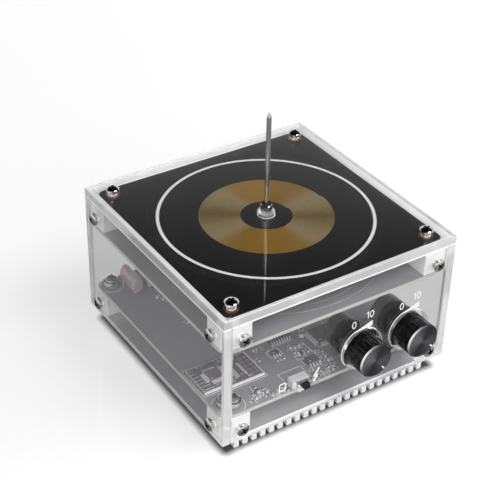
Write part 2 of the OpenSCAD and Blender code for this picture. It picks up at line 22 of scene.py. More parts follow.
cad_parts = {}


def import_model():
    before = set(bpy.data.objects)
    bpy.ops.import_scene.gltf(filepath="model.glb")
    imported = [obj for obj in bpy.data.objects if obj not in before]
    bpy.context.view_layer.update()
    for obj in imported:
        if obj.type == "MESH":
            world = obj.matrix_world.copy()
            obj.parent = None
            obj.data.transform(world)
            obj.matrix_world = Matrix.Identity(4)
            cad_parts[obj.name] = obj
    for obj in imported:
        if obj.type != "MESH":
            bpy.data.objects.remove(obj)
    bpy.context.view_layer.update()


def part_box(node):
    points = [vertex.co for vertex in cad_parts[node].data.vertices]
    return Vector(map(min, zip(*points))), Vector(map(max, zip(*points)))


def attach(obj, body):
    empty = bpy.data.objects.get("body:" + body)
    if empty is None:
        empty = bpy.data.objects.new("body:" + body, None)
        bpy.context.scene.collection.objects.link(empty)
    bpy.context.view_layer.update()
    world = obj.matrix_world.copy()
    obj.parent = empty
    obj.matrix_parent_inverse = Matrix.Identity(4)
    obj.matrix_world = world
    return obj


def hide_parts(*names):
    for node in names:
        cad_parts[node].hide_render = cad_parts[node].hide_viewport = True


LOG = logging.getLogger("resonant_transformer")
MM = 0.001
UPRIGHT = Matrix.Identity(4)

Colour = tuple[float, float, float]
Flat = tuple[float, float]
Point = tuple[float, float, float]
Stops = tuple[tuple[float, Colour], ...]
Socket = bpy.types.NodeSocket


def srgb(red: int, green: int, blue: int) -> Colour:
    """Turns a colour written from 0 to 255 into the linear values that a shader takes."""
    return tuple(((part / 255 + 0.055) / 1.055) ** 2.4 if part > 10 else part / 255 / 12.92
                 for part in (red, green, blue))


# Shapes ------------------------


class Facing(Enum):
    """Where a shape's own +Z points once it is placed: the turn in degrees and its axis."""

    UP = (0.0, "X")
    DOWN = (180.0, "X")
    FRONT = (90.0, "X")
    BACK = (-90.0, "X")
    LEFT = (-90.0, "Y")
    RIGHT = (90.0, "Y")

    def at(self, x: float, y: float, z: float) -> Matrix:
        """Gives the placing matrix of a shape that faces this way from a point."""
        angle, axis = self.value
        return Matrix.Translation((x, y, z)) @ Matrix.Rotation(math.radians(angle), 4, axis)


def at(x: float, y: float, z: float = 0, turn: float = 0) -> Matrix:
    """Gives the placing matrix of a shape at a point, turned about its own Z axis in degrees."""
    return Matrix.Translation((x, y, z)) @ Matrix.Rotation(math.radians(turn), 4, "Z")


def linked(name: str, data: bpy.types.ID) -> bpy.types.Object:
    """Makes an object of that data in the scene."""
    item = bpy.data.objects.new(name, data)
    bpy.context.scene.collection.objects.link(item)
    return item


def polar(radius: float, angle: float, height: float) -> Vector:
    """Gives the point that far from the Z axis, at an angle in radians."""
    return Vector((radius * math.cos(angle), radius * math.sin(angle), height))


def wavy_ring(radius: float, height: float, dips: Sequence[float], deep: float = 0.0) -> list[Vector]:
    """Gives a level ring about the Z axis with dips in it.

    Args:
        radius: Its outer radius.
        height: Its height.
        dips: How far each point is drawn in, as a share of the depth.
        deep: The depth.

    Returns:
        The points, anticlockwise.
    """
    turn = 2 * math.pi / len(dips)
    return [polar(radius - deep * dip, k * turn, height) for k, dip in enumerate(dips)]


def ring(radius: float, height: float, sides: int = 48) -> list[Vector]:
    """Gives a level circle about the Z axis; a radius of nothing is one point."""
    return wavy_ring(radius, height, [0] * (sides if radius else 1))


def circle(radius: float, sides: int) -> list[Flat]:
    """Gives the outline of a circle about the origin."""
    return [(point.x, point.y) for point in ring(radius, 0, sides)]


def rounded_outline(width: float, depth: float, radius: float, steps: int = 1) -> list[Flat]:
    """Gives a rectangle about the origin with rounded corners.

    Args:
        width: Size along the first axis.
        depth: Size along the second axis.
        radius: Corner radius.
        steps: Straight pieces in each corner; one makes a chamfer.

    Returns:
        The outline's points, anticlockwise.
    """
    radius = min(radius, width / 2.01, depth / 2.01)
    if radius <= 0:
        x, y = width / 2, depth / 2
        return [(-x, -y), (x, -y), (x, y), (-x, y)]
    points = []
    for quarter, (x, y) in enumerate([(1, 1), (-1, 1), (-1, -1), (1, -1)]):
        for step in range(steps + 1):
            angle = (quarter + step / steps) * math.pi / 2
            points.append((x * (width / 2 - radius) + radius * math.cos(angle),
                           y * (depth / 2 - radius) + radius * math.sin(angle)))
    return points


def inset_outline(outline: Sequence[Flat], amount: float) -> list[Flat]:
    """Draws an outline in by an even amount, its corners mitred.

    Args:
        outline: The points, anticlockwise.
        amount: How far in.

    Returns:
        As many points, moved inwards.
    """
    points = [Vector(p) for p in outline]
    moved = []
    for index, here in enumerate(points):
        before = (here - points[index - 1]).normalized()
        after = (points[(index + 1) % len(points)] - here).normalized()
        normals = [Vector((-side.y, side.x)) for side in (before, after)]
        middle = (normals[0] + normals[1]).normalized()
        moved.append(tuple(here + middle * amount / max(0.3, middle.dot(normals[0]))))
    return moved


@dataclass
class Shape:
    """A mesh in the making: its corners in millimetres, its faces, and each face's finish number."""

    corners: list[Vector] = field(default_factory=list)
    faces: list[tuple[int, ...]] = field(default_factory=list)
    marks: list[int] = field(default_factory=list)

    def add(self, corners: Iterable[Vector], faces: Iterable[Sequence[int]], marks: Iterable[int],
            place: Matrix = UPRIGHT) -> Shape:
        """Adds loose corners and faces.

        Args:
            corners: Points in the shape's own millimetres.
            faces: Each face as numbers into corners.
            marks: The finish number of each face.
            place: Where the new part goes.

        Returns:
            The shape itself, so that calls can be chained.
        """
        start = len(self.corners)
        self.corners += [place @ Vector(corner) for corner in corners]
        self.faces += [tuple(start + index for index in face) for face in faces]
        self.marks += list(marks)
        return self

    def join(self, other: Shape, place: Matrix = UPRIGHT) -> Shape:
        """Adds a placed copy of another shape."""
        return self.add(other.corners, other.faces, other.marks, place)

    def loft(self, rings: Sequence[Sequence[Vector]], finish: int | Sequence[int] = 0,
             place: Matrix = UPRIGHT, closed: bool = False) -> Shape:
        """Skins a run of rings with faces and caps its ends.

        Args:
            rings: Rings of as many points each; a ring of one point is a tip.
            finish: A finish number for all of it, or one for each step between rings.
            place: Where the new part goes.
            closed: Whether the last ring meets the first.

        Returns:
            The shape itself.
        """
        points = [point for one in rings for point in one]
        starts = [0, *accumulate(len(one) for one in rings)]
        count = len(rings)
        steps = [(index, (index + 1) % count) for index in range(count if closed else count - 1)]
        faces, marks = [], []
        for number, (a, b) in enumerate(steps):
            mark = finish if isinstance(finish, int) else finish[number]
            count_a, count_b = len(rings[a]), len(rings[b])
            for k in range(max(count_a, count_b)):
                after = (k + 1) % max(count_a, count_b)
                face = dict.fromkeys([starts[a] + k % count_a, starts[a] + after % count_a,
                                      starts[b] + after % count_b, starts[b] + k % count_b])
                faces.append(tuple(face))
                marks.append(mark)
        for end, number in ((0, 0), (len(rings) - 1, -1)):
            if not closed and len(rings[end]) > 2:
                faces.append(tuple(range(starts[end], starts[end] + len(rings[end]))))
                marks.append(finish if isinstance(finish, int) else finish[number])
        return self.add(points, faces, marks, place)

    def turned(self, profile: Sequence[Flat], finish: int | Sequence[int] = 0, place: Matrix = UPRIGHT,
               sides: int = 48, closed: bool = False) -> Shape:
        """Adds a turned part, from its profile as [radius, height], about its own Z axis."""
        return self.loft([ring(radius, height, sides) for radius, height in profile], finish, place, closed)

    def extruded(self, outline: Sequence[Flat], low: float, high: float, finish: int = 0,
                 edge: float = 0.0, place: Matrix = UPRIGHT) -> Shape:
        """Adds a flat outline drawn out along Z.

        Args:
            outline: The points, anticlockwise.
            low: Height of its lower face.
            high: Height of its upper face.
            finish: The finish number.
            edge: Chamfer round both faces.
            place: Where the new part goes.

        Returns:
            The shape itself.
        """
        drawn_in = inset_outline(outline, edge) if edge else outline
        levels = [(low, drawn_in), (low + edge, outline), (high - edge, outline), (high, drawn_in)]
        if not edge:
            levels = [(low, outline), (high, outline)]
        rings = [[Vector((x, y, height)) for x, y in flat] for height, flat in levels]
        return self.loft(rings, finish, place)

    def block(self, low: Point, high: Point, finish: int = 0, edge: float = 0.1, place: Matrix = UPRIGHT,
              steps: int = 1) -> Shape:
        """Adds a box with its edges eased.

        Args:
            low: Its lowest corner.
            high: Its highest corner.
            finish: The finish number.
            edge: How far its edges are eased.
            place: Where the box goes.
            steps: Straight pieces in each upright edge.

        Returns:
            The shape itself.
        """
        size = [b - a for a, b in zip(low, high)]
        middle = Matrix.Translation(((low[0] + high[0]) / 2, (low[1] + high[1]) / 2, 0))
        edge = min(edge, min(size) / 2.5)
        outline = rounded_outline(size[0], size[1], edge, steps)
        return self.extruded(outline, low[2], high[2], finish, edge, place @ middle)

    def stroke(self, path: Sequence[Flat], width: float, finish: int = 0, height: float = 0.03,
               closed: bool = False, place: Matrix = UPRIGHT) -> Shape:
        """Adds a flat stroke of ink or copper along a path on the plane z = 0.

        Args:
            path: Points on the plane.
            width: Width of the stroke.
            finish: The finish number.
            height: How thick the stroke lies.
            closed: Whether the path comes back to its start.
            place: Where the plane is.

        Returns:
            The shape itself.
        """
        points = [Vector(p) for p in path]
        rings = []
        for index, here in enumerate(points):
            before = points[index - 1] if index or closed else here
            after = points[(index + 1) % len(points)] if index < len(points) - 1 or closed else here
            into, out = (here - before), (after - here)
            along = (into.normalized() + out.normalized()).normalized()
            side = Vector((-along.y, along.x))
            lean = max(0.5, abs(side.dot(Vector((-out.y, out.x)).normalized()))) if out.length else 1
            left, right = here + side * width / 2 / lean, here - side * width / 2 / lean
            rings.append([left.to_3d(), right.to_3d(), Vector((*right, height)), Vector((*left, height))])
        return self.loft(rings, finish, place, closed)

    def tube(self, path: Sequence[Vector], radius: float, finish: int = 0, sides: int = 10,
             place: Matrix = UPRIGHT) -> Shape:
        """Adds a round wire along a path in space.

        Args:
            path: The points that its middle follows.
            radius: The wire's radius.
            finish: The finish number.
            sides: How many sides it has.
            place: Where the path is.

        Returns:
            The shape itself.
        """
        rings = []
        for index, here in enumerate(path):
            before, after = path[max(0, index - 1)], path[min(len(path) - 1, index + 1)]
            along = (after - before).normalized()
            turn = Vector((0, 0, 1)).rotation_difference(along).to_matrix().to_4x4()
            rings.append([Matrix.Translation(here) @ turn @ point for point in ring(radius, 0, sides)])
        return self.loft(rings, finish, place)

    def mesh(self, name: str, finishes: int = 1) -> bpy.types.Mesh:
        """Builds the Blender mesh, in metres, with its faces turned outwards.

        Args:
            name: The mesh's name.
            finishes: How many finishes it has.

        Returns:
            The mesh.
        """
        mesh = bpy.data.meshes.new(name)
        mesh.from_pydata([corner * MM for corner in self.corners], [], self.faces)
        for _ in range(finishes):
            mesh.materials.append(None)
        mesh.polygons.foreach_set("material_index", self.marks)
        work = bmesh.new()
        work.from_mesh(mesh)
        bmesh.ops.recalc_face_normals(work, faces=work.faces)
        work.to_mesh(mesh)
        work.free()
        return mesh

    def cut(self, tool: Shape) -> Shape:
        """Cuts another shape out of this one.

        Args:
            tool: The shape to take away.

        Returns:
            A new shape.
        """
        finishes = max([*self.marks, *tool.marks]) + 1
        body, cutter = (linked("work", part.mesh("work", finishes)) for part in (self, tool))
        difference = body.modifiers.new("cut", "BOOLEAN")
        difference.operation, difference.solver, difference.object = "DIFFERENCE", "EXACT", cutter
        bpy.context.view_layer.update()
        mesh = bpy.data.meshes.new_from_object(body.evaluated_get(bpy.context.evaluated_depsgraph_get()))
        result = Shape([vertex.co / MM for vertex in mesh.vertices],
                       [tuple(face.vertices) for face in mesh.polygons],
                       [min(face.material_index, finishes - 1) for face in mesh.polygons])
        for item in (body, cutter):
            bpy.data.objects.remove(item)
        return result


# Finishes ------------------------


class Grain(Enum):
    """Which way a finish's fine marks run: the stretch along each axis, or rings about one."""

    SPECKLED = (1.0, 1.0, 1.0)
    ALONG_X = (0.03, 1.0, 1.0)
    ALONG_Y = (1.0, 0.03, 1.0)
    ALONG_Z = (1.0, 1.0, 0.03)
    TURNED_Y = (1.0, 0.0, 1.0)
    TURNED_Z = (1.0, 1.0, 0.0)

    @property
    def turned(self) -> bool:
        """Says whether the marks are rings left by a lathe."""
        return 0.0 in self.value


class Graph:
    """The shader of a material or a sky, put together node by node."""

    def __init__(self, owner: bpy.types.Material | bpy.types.World) -> None:
        """Empties the shader of that material or sky.

        Args:
            owner: The material or sky.
        """
        self.owner = owner
        owner.use_nodes = True
        self.tree = owner.node_tree
        self.tree.nodes.clear()

    def add(self, kind: str, inputs: dict | None = None, **settings: object) -> bpy.types.Node:
        """Adds a node.

        Args:
            kind: Blender's name for the node, without ShaderNode.
            inputs: Values or sockets for its inputs, by socket name or number.
            **settings: The node's own settings.

        Returns:
            The node.
        """
        node = self.tree.nodes.new("ShaderNode" + kind)
        for key, value in settings.items():
            setattr(node, key, value)
        for key, value in (inputs or {}).items():
            if isinstance(value, Socket):
                self.tree.links.new(value, node.inputs[key])
            else:
                node.inputs[key].default_value = value
        return node

    def from_axis(self, centre: Point) -> Socket:
        """Gives the place on the object, counted from an axis given in millimetres."""
        inputs = {0: self.add("TexCoord").outputs["Object"], 1: [part * MM for part in centre]}
        return self.add("VectorMath", inputs, operation="SUBTRACT").outputs[0]

    def marks(self, pitch: float, grain: Grain, centre: Point = (0, 0, 0), detail: float = 3) -> Socket:
        """Gives a noise that runs with the grain.

        Args:
            pitch: Size of a mark in millimetres.
            grain: Which way the marks run.
            centre: The axis of turned marks, in millimetres.
            detail: How much finer noise lies on it.

        Returns:
            The noise's value socket.
        """
        inputs = {"Scale": 1 / (pitch * MM), "Detail": detail}
        if not grain.turned:
            place = self.add("TexCoord").outputs["Object"]
            scaled = self.add("Mapping", {"Vector": place, "Scale": grain.value})
            return self.add("TexNoise", {"Vector": scaled.outputs[0], **inputs}).outputs[0]
        away = {0: self.from_axis(centre), 1: grain.value}
        flat = self.add("VectorMath", away, operation="MULTIPLY")
        radius = self.add("VectorMath", {0: flat.outputs[0]}, operation="LENGTH")
        inputs["W"] = radius.outputs["Value"]
        return self.add("TexNoise", inputs, noise_dimensions="1D").outputs[0]

    def spread(self, value: Socket, low: float, high: float) -> Socket:
        """Stretches the middle of a noise over a range of values."""
        stretch = self.add("MapRange", {0: value, 1: 0.3, 2: 0.7, 3: low, 4: high})
        return stretch.outputs[0]

    def blend(self, amount: Socket | float, first: Sequence[float] | Socket,
              second: Sequence[float] | Socket) -> Socket:
        """Mixes two colours."""
        mix = self.add("Mix", {0: amount, 6: first, 7: second}, data_type="RGBA")
        return mix.outputs[2]

    def ramp(self, value: Socket, stops: Stops) -> Socket:
        """Turns a value into a colour.

        Args:
            value: The value's socket.
            stops: Colours, each with the value it stands at.

        Returns:
            The colour socket.
        """
        ramp = self.add("ValToRGB", {0: value})
        elements = ramp.color_ramp.elements
        for index, (position, colour) in enumerate(stops):
            stop = elements[index] if index < 2 else elements.new(position)
            stop.position, stop.color = position, (*colour, 1)
        return ramp.outputs[0]

    def painted_highlight(self, stops: Stops, heading: float, centre: Point, grain: Grain) -> Socket:
        """Gives a painted highlight: colours that change with the angle about an axis, standing in for the
        sheen that turned marks throw.

        Args:
            stops: Colours of the painted highlight, from 0, on the far side from the heading, to 1, on the
                heading.
            heading: Direction of the last colour, in degrees.
            centre: The axis, in millimetres.
            grain: Which axis the marks are turned about.

        Returns:
            The colour socket.
        """
        split = self.add("SeparateXYZ", {0: self.from_axis(centre)})
        upright = split.outputs["Z" if grain is Grain.TURNED_Y else "Y"]
        angle = self.add("Math", {0: upright, 1: split.outputs["X"]}, operation="ARCTAN2")
        away = {0: angle.outputs[0], 1: math.radians(heading)}
        turned = self.add("Math", away, operation="SUBTRACT")
        wave = self.add("Math", {0: turned.outputs[0]}, operation="COSINE")
        share = self.add("MapRange", {0: wave.outputs[0], 1: -1.0, 2: 1.0, 3: 0.0, 4: 1.0})
        return self.ramp(share.outputs[0], stops)

    def relief(self, value: Socket, depth: float) -> Socket:
        """Turns a noise into a bump of that depth in millimetres."""
        bump = self.add("Bump", {"Height": value, "Distance": depth * MM, "Strength": 1.0})
        return bump.outputs[0]

    def done(self, shader: Socket) -> bpy.types.Material:
        """Links the shader to the output and gives the material."""
        self.add("OutputMaterial", {"Surface": shader})
        return self.owner


@dataclass(frozen=True)
class Finish:
    """An opaque surface: its colours, written from 0 to 255, its gloss, its fine marks, and at times a
    painted highlight that changes with the angle about an axis.
    """

    name: str
    slot: str
    colour: Colour
    shade: float = 0.8
    metal: float = 0.0
    rough: Flat = (0.4, 0.5)
    grain: Grain = Grain.SPECKLED
    pitch: float = 0.25
    relief: float = 0.003
    patch: float = 6.0
    coat: float = 0.0
    streak: float = 0.0
    specular: float = 0.5
    centre: Point = (0, 0, 0)
    # A painted highlight: colours by the angle about the centre, the last one toward the heading; empty for
    # none
    painted_highlight: Stops = ()
    heading: float = 0.0

    def build(self) -> bpy.types.Material:
        """Makes the material, from fine marks over larger, softer patches, or over its painted highlight
        where it has one.

        Returns:
            The material.
        """
        graph = Graph(bpy.data.materials.new(self.name))
        fine = graph.marks(self.pitch, self.grain, self.centre)
        broad = graph.marks(self.patch, Grain.SPECKLED, detail=2)
        light = [*srgb(*self.colour), 1]
        dark = [part * self.shade for part in light[:3]] + [1]
        patches_and_painted_highlight = graph.blend(graph.spread(broad, 0, 1), [(a + b) / 2 for a, b in zip(dark, light)], light)
        # A painted highlight takes the place of the patches
        if self.painted_highlight:
            stops = tuple((share, srgb(*colour)) for share, colour in self.painted_highlight)
            patches_and_painted_highlight = graph.painted_highlight(stops, self.heading, self.centre, self.grain)
            dark = graph.blend(1 - self.shade, patches_and_painted_highlight, (0, 0, 0, 1))
        colour = graph.blend(graph.spread(fine, 0, 1), dark, patches_and_painted_highlight)
        inputs = {
            "Base Color": colour, "Metallic": self.metal, "Roughness": graph.spread(fine, *self.rough),
            "Normal": graph.relief(fine, self.relief), "Coat Weight": self.coat, "Coat Roughness": 0.08,
            "Anisotropic": self.streak, "Specular IOR Level": self.specular,
        }
        if self.streak:
            axis = "Y" if self.grain is Grain.TURNED_Y else "Z"
            inputs["Tangent"] = graph.add("Tangent", direction_type="RADIAL", axis=axis).outputs[0]
        return graph.done(graph.add("BsdfPrincipled", inputs).outputs[0])


@dataclass(frozen=True)
class Acrylic:
    """Clear cast sheet: how much of it is veiled by scatter, its gloss, saw marks and clearness."""

    name: str
    veil: float = 0.05
    rough: Flat = (0.0, 0.02)
    grain: Grain = Grain.SPECKLED
    pitch: float = 9.0
    relief: float = 0.0
    clear: float = 0.97
    slot: str = "clear_acrylic"
    ior: float = 1.49

    def build(self) -> bpy.types.Material:
        """Makes a clear material that lets the lamps through.

        Returns:
            The material.
        """
        graph = Graph(bpy.data.materials.new(self.name))
        through = [self.clear] * 3 + [1]
        fine = graph.marks(self.pitch, self.grain)
        inputs = {
            "Base Color": graph.blend(graph.spread(fine, 0, 1), through, [1.0] * 4),
            "Roughness": graph.spread(fine, *self.rough), "IOR": self.ior,
            "Transmission Weight": 1 - self.veil,
        }
        if self.relief:
            inputs["Normal"] = graph.relief(fine, self.relief)
        solid = graph.add("BsdfPrincipled", inputs)
        clear = graph.add("BsdfTransparent", {"Color": through})
        shadow = graph.add("LightPath").outputs["Is Shadow Ray"]
        mix = graph.add("MixShader", {0: shadow, 1: solid.outputs[0], 2: clear.outputs[0]})
        return graph.done(mix.outputs[0])


class Paint:
    """The object's finishes, named for what they are on."""

    CLEAR_FACE = Acrylic("clear_plate_face", veil=0.0)
    CLEAR_SIDE = Acrylic("clear_side_face", veil=0.008)
    CLEAR_FRONT = Acrylic("clear_front_face", veil=0.01)
    CUT_EDGE_Z = Acrylic("cut_edge_z", 0.52, (0.06, 0.2), Grain.ALONG_Z, 0.3, 0.02)
    CUT_EDGE_Y = Acrylic("cut_edge_y", 0.88, (0.06, 0.2), Grain.ALONG_Y, 0.3, 0.02)
    CUT_EDGE_X = Acrylic("cut_edge_x", 0.9, (0.06, 0.2), Grain.ALONG_X, 0.3, 0.02)
    BORED_WALL = Acrylic("bored_wall", 0.14, (0.03, 0.1), Grain.SPECKLED, 0.4)
    BLOCK_FACE = Acrylic("corner_block_face", 0.8, (0.12, 0.25), Grain.SPECKLED, 2.0)
    HEAT_SINK = Finish("satin_aluminium", "bright_aluminium", (250, 250, 252), 0.95, 0.12, (0.32, 0.46),
                       Grain.ALONG_Y, 0.2, 0.006)
    HEAT_SINK_TOP = Finish("satin_aluminium_top", "bright_aluminium", (196, 196, 200), 0.92, 0.3,
                           (0.32, 0.46), Grain.ALONG_Y, 0.2, 0.004)
    MASK = Finish("solder_mask", "black_board", (17, 17, 20), 0.8, 0.0, (0.28, 0.38), pitch=0.4,
                  relief=0.002)
    # The lower boards are black solder mask like the spiral board; this copy is painted pale grey, a
    # painted reflection standing in for the haze and reflections of the clear sheets in front of them
    PAINTED_PALE_MASK = Finish("solder_mask_painted_pale", "black_board", (152, 151, 156), 0.85, 0.0, (0.3, 0.4),
                        pitch=0.4, relief=0.002)
    LAMINATE = Finish("laminate_edge", "black_board", (205, 204, 200), 0.82, 0.0, (0.6, 0.75),
                      Grain.ALONG_X, 0.15, 0.01)
    SCREW = Finish("plated_screw", "plated_steel", (226, 224, 222), 0.9, 1.0, (0.13, 0.22), pitch=0.3,
                   relief=0.001)
    # The spiral's colour is a painted reflection by angle about its centre: saturated gold toward heading
    # -123.4 degrees and away from it, pale silvery near the diagonals, darker at the sides; its anisotropic
    # sheen is real shading
    COPPER = Finish("bare_track", "copper_track", (226, 176, 92), 0.92, 0.84, (0.3, 0.38), pitch=0.2,
                    relief=0.0, streak=0.7, grain=Grain.TURNED_Z, heading=-123.4, painted_highlight=(
                        (0.0, (226, 174, 78)), (0.08, (230, 182, 92)), (0.18, (238, 214, 164)),
                        (0.33, (226, 202, 144)), (0.5, (190, 158, 88)), (0.67, (226, 202, 144)),
                        (0.82, (240, 216, 168)), (0.92, (226, 178, 84)), (1.0, (220, 168, 62))))
    # The primary board's masked turns, painted pale grey like its mask, a painted reflection of the clear
    # sheets' haze
    PAINTED_PALE_TRACK = Finish("masked_track", "masked_track", (150, 149, 154), 0.85, 0.0, (0.25, 0.35))
    MASKED_RING = Finish("masked_ring", "masked_track", (25, 25, 28), 0.9, 0.0, (0.24, 0.32), relief=0.0005)
    GOLD = Finish("gold_plating", "gold_pads", (214, 176, 140), 0.9, 1.0, (0.22, 0.32), pitch=0.6,
                  relief=0.0005)
    NICKEL = Finish("polished_nickel", "nickel_socket", (214, 213, 212), 0.9, 1.0, (0.08, 0.16), pitch=0.2)
    BLACK_RING = Finish("black_ring", "black_ring", (16, 16, 17), 0.8, 0.0, (0.3, 0.4))
    NEEDLE = Finish("ground_steel", "needle_steel", (196, 194, 192), 0.9, 1.0, (0.1, 0.2),
                    Grain.ALONG_Z, 0.08)
    CONTROL_CASE = Finish("control_case", "control_case", (9, 9, 11), 0.8, 0.0, (0.3, 0.4),
                          relief=0.0004, specular=0.3)
    SHAFT = Finish("drawn_shaft", "shaft_metal", (200, 200, 198), 0.85, 1.0, (0.2, 0.3), Grain.ALONG_Y, 0.1)
    KNOB = Finish("knob_black", "knob_black", (9, 9, 10), 0.8, 0.0, (0.08, 0.13), Grain.ALONG_Y, 0.3,
                  0.0, specular=0.3)
    POINTER = Finish("pointer_white", "knob_black", (240, 240, 240), 0.95, 0.0, (0.4, 0.5))
    SWITCH_SHELL = Finish("tinned_shell", "switch_metal", (244, 243, 244), 0.95, 0.3, (0.25, 0.38),
                          pitch=0.5, relief=0.0008)
    SWITCH_BLACK = Finish("switch_black", "switch_black", (17, 17, 18), 0.7, 0.0, (0.42, 0.55), pitch=0.12)
    SWITCH_BASE = Finish("switch_base", "switch_metal", (120, 96, 84), 0.85, 0.0, (0.5, 0.6))
    MODULE = Finish("module_mask", "module_board", (112, 107, 116), 0.8, 0.0, (0.3, 0.42), pitch=0.4)
    CHIP = Finish("chip_black", "chip_black", (86, 86, 90), 0.8, 0.0, (0.45, 0.6), pitch=0.08)
    TIN = Finish("tinned_lead", "plated_steel", (240, 239, 240), 0.9, 0.3, (0.25, 0.4), pitch=0.15)
    INK = Finish("white_ink", "black_board", (252, 252, 252), 0.96, 0.0, (0.5, 0.65), pitch=0.12,
                 relief=0.002)
    CERAMIC = Finish("ceramic_tan", "dipped_pink", (172, 158, 160), 0.85, 0.0, (0.4, 0.55), pitch=0.1)
    GREY_PART = Finish("grey_part", "chip_black", (92, 92, 98), 0.8, 0.0, (0.4, 0.55), pitch=0.1)
    DIPPED = Finish("dipped_pink", "dipped_pink", (174, 155, 164), 0.92, 0.0, (0.22, 0.35), pitch=1.2,
                    relief=0.003, coat=0.4)
    CAN = Finish("can_sleeve", "can_sleeve", (30, 31, 36), 0.8, 0.0, (0.25, 0.4), pitch=0.3)
    CAN_END = Finish("can_end", "can_sleeve", (200, 200, 202), 0.9, 0.9, (0.25, 0.35), pitch=0.3)
    PACKAGE = Finish("package_black", "package_black", (28, 28, 30), 0.8, 0.0, (0.4, 0.55), pitch=0.1)
    INSULATOR = Finish("insulator_grey", "insulator_grey", (158, 158, 154), 0.85, 0.0, (0.6, 0.75),
                       pitch=0.2)
    BRASS = Finish("pillar_brass", "pillar_brass", (214, 178, 102), 0.85, 1.0, (0.2, 0.32),
                   Grain.ALONG_Z, 0.12)
    INLET = Finish("inlet_black", "inlet_black", (24, 24, 26), 0.78, 0.0, (0.38, 0.5), pitch=0.15)
    MODULE_PAD = Finish("module_pad", "module_board", (206, 196, 186), 0.85, 0.7, (0.3, 0.45), pitch=0.15)

    @staticmethod
    def knob_face(x: float, z: float) -> Finish:
        """Gives the turned face of the knob whose axis stands at that place, its colour a painted highlight
        by angle about the axis: lightest toward the upper left, lighter again toward the lower right,
        darkest between.
        """
        stops = ((0.0, (112, 111, 116)), (0.18, (84, 83, 88)), (0.5, (66, 65, 70)),
                 (0.8, (104, 103, 108)), (1.0, (146, 145, 150)))
        return Finish("knob_face", "knob_black", (92, 91, 96), 0.72, 0.75, (0.28, 0.4), Grain.TURNED_Y,
                      0.12, 0.003, streak=0.6, centre=(x, 0, z), painted_highlight=stops, heading=150)

    @staticmethod
    def knob_edge(x: float, z: float) -> Finish:
        """Gives the cut edge of the knob whose axis stands at that place: dark all round but for a painted
        highlight, a bright crescent toward the upper left.
        """
        stops = ((0.0, (12, 12, 13)), (0.6, (16, 16, 17)), (0.85, (130, 130, 132)), (1.0, (246, 246, 247)))
        return Finish("knob_edge", "knob_black", (150, 150, 152), 0.9, 0.2, (0.12, 0.2), Grain.TURNED_Y,
                      0.2, 0.0, centre=(x, 0, z), painted_highlight=stops, heading=150)


# Workshop ------------------------


@dataclass(frozen=True)
class Box:
    """A node's box in millimetres."""

    low: Vector
    high: Vector

    @property
    def middle(self) -> Vector:
        """The box's centre."""
        return (self.low + self.high) / 2

    @property
    def size(self) -> Vector:
        """The box's three sizes."""
        return self.high - self.low


def box_of(node: str) -> Box:
    """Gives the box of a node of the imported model."""
    low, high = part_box(node)
    return Box(low / MM, high / MM)


@dataclass
class Workshop:
    """Where pieces are made into objects, given a finish and put on the body they belong to."""

    materials: dict[Finish | Acrylic, bpy.types.Material] = field(default_factory=dict)
    count: int = 0

    def material(self, finish: Finish | Acrylic) -> bpy.types.Material:
        """Builds a finish once and gives it from then on."""
        if finish not in self.materials:
            self.materials[finish] = finish.build()
        return self.materials[finish]

    def dress(self, node: str, face: Finish, edge: Finish | None = None) -> None:
        """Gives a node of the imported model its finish.

        Args:
            node: The node's name.
            face: The finish of all of it, or of its upper and lower faces.
            edge: The finish of its walls, where that differs.
        """
        item = bpy.data.objects[node]
        item.data.materials.clear()
        for finish in filter(None, (face, edge)):
            item.data.materials.append(self.material(finish))
        for polygon in item.data.polygons:
            polygon.material_index = 1 if edge and abs(polygon.normal.z) < 0.5 else 0
        LOG.info("%s is finished in %s", node, face.name)

    def fit(self, shape: Shape | bpy.types.Mesh, name: str, finishes: Sequence[Finish | Acrylic],
            body: str = "case", replaces: Sequence[str] = (), crease: float = 32) -> bpy.types.Object:
        """Finishes a piece and puts it on its body.

        Args:
            shape: The piece in place: a shape, or a mesh in metres.
            name: The piece's name.
            finishes: What the shape's finish numbers stand for.
            body: The body that the piece moves with.
            replaces: The nodes that it stands for.
            crease: Edges sharper than this angle stay sharp.

        Returns:
            The new object.
        """
        mesh = shape.mesh(name, len(finishes)) if isinstance(shape, Shape) else shape
        mesh.materials.clear()
        for finish in finishes:
            mesh.materials.append(self.material(finish))
        mesh.polygons.foreach_set("use_smooth", [True] * len(mesh.polygons))
        mesh.set_sharp_from_angle(angle=math.radians(crease))
        if isinstance(shape, Shape):
            mesh.polygons.foreach_set("material_index", shape.marks)
        item = linked(name, mesh)
        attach(item, body)
        if replaces:
            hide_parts(*replaces)
        self.count += 1
        LOG.info("%s: %d faces on %s", name, len(mesh.polygons), body)
        return item


# Screws ------------------------


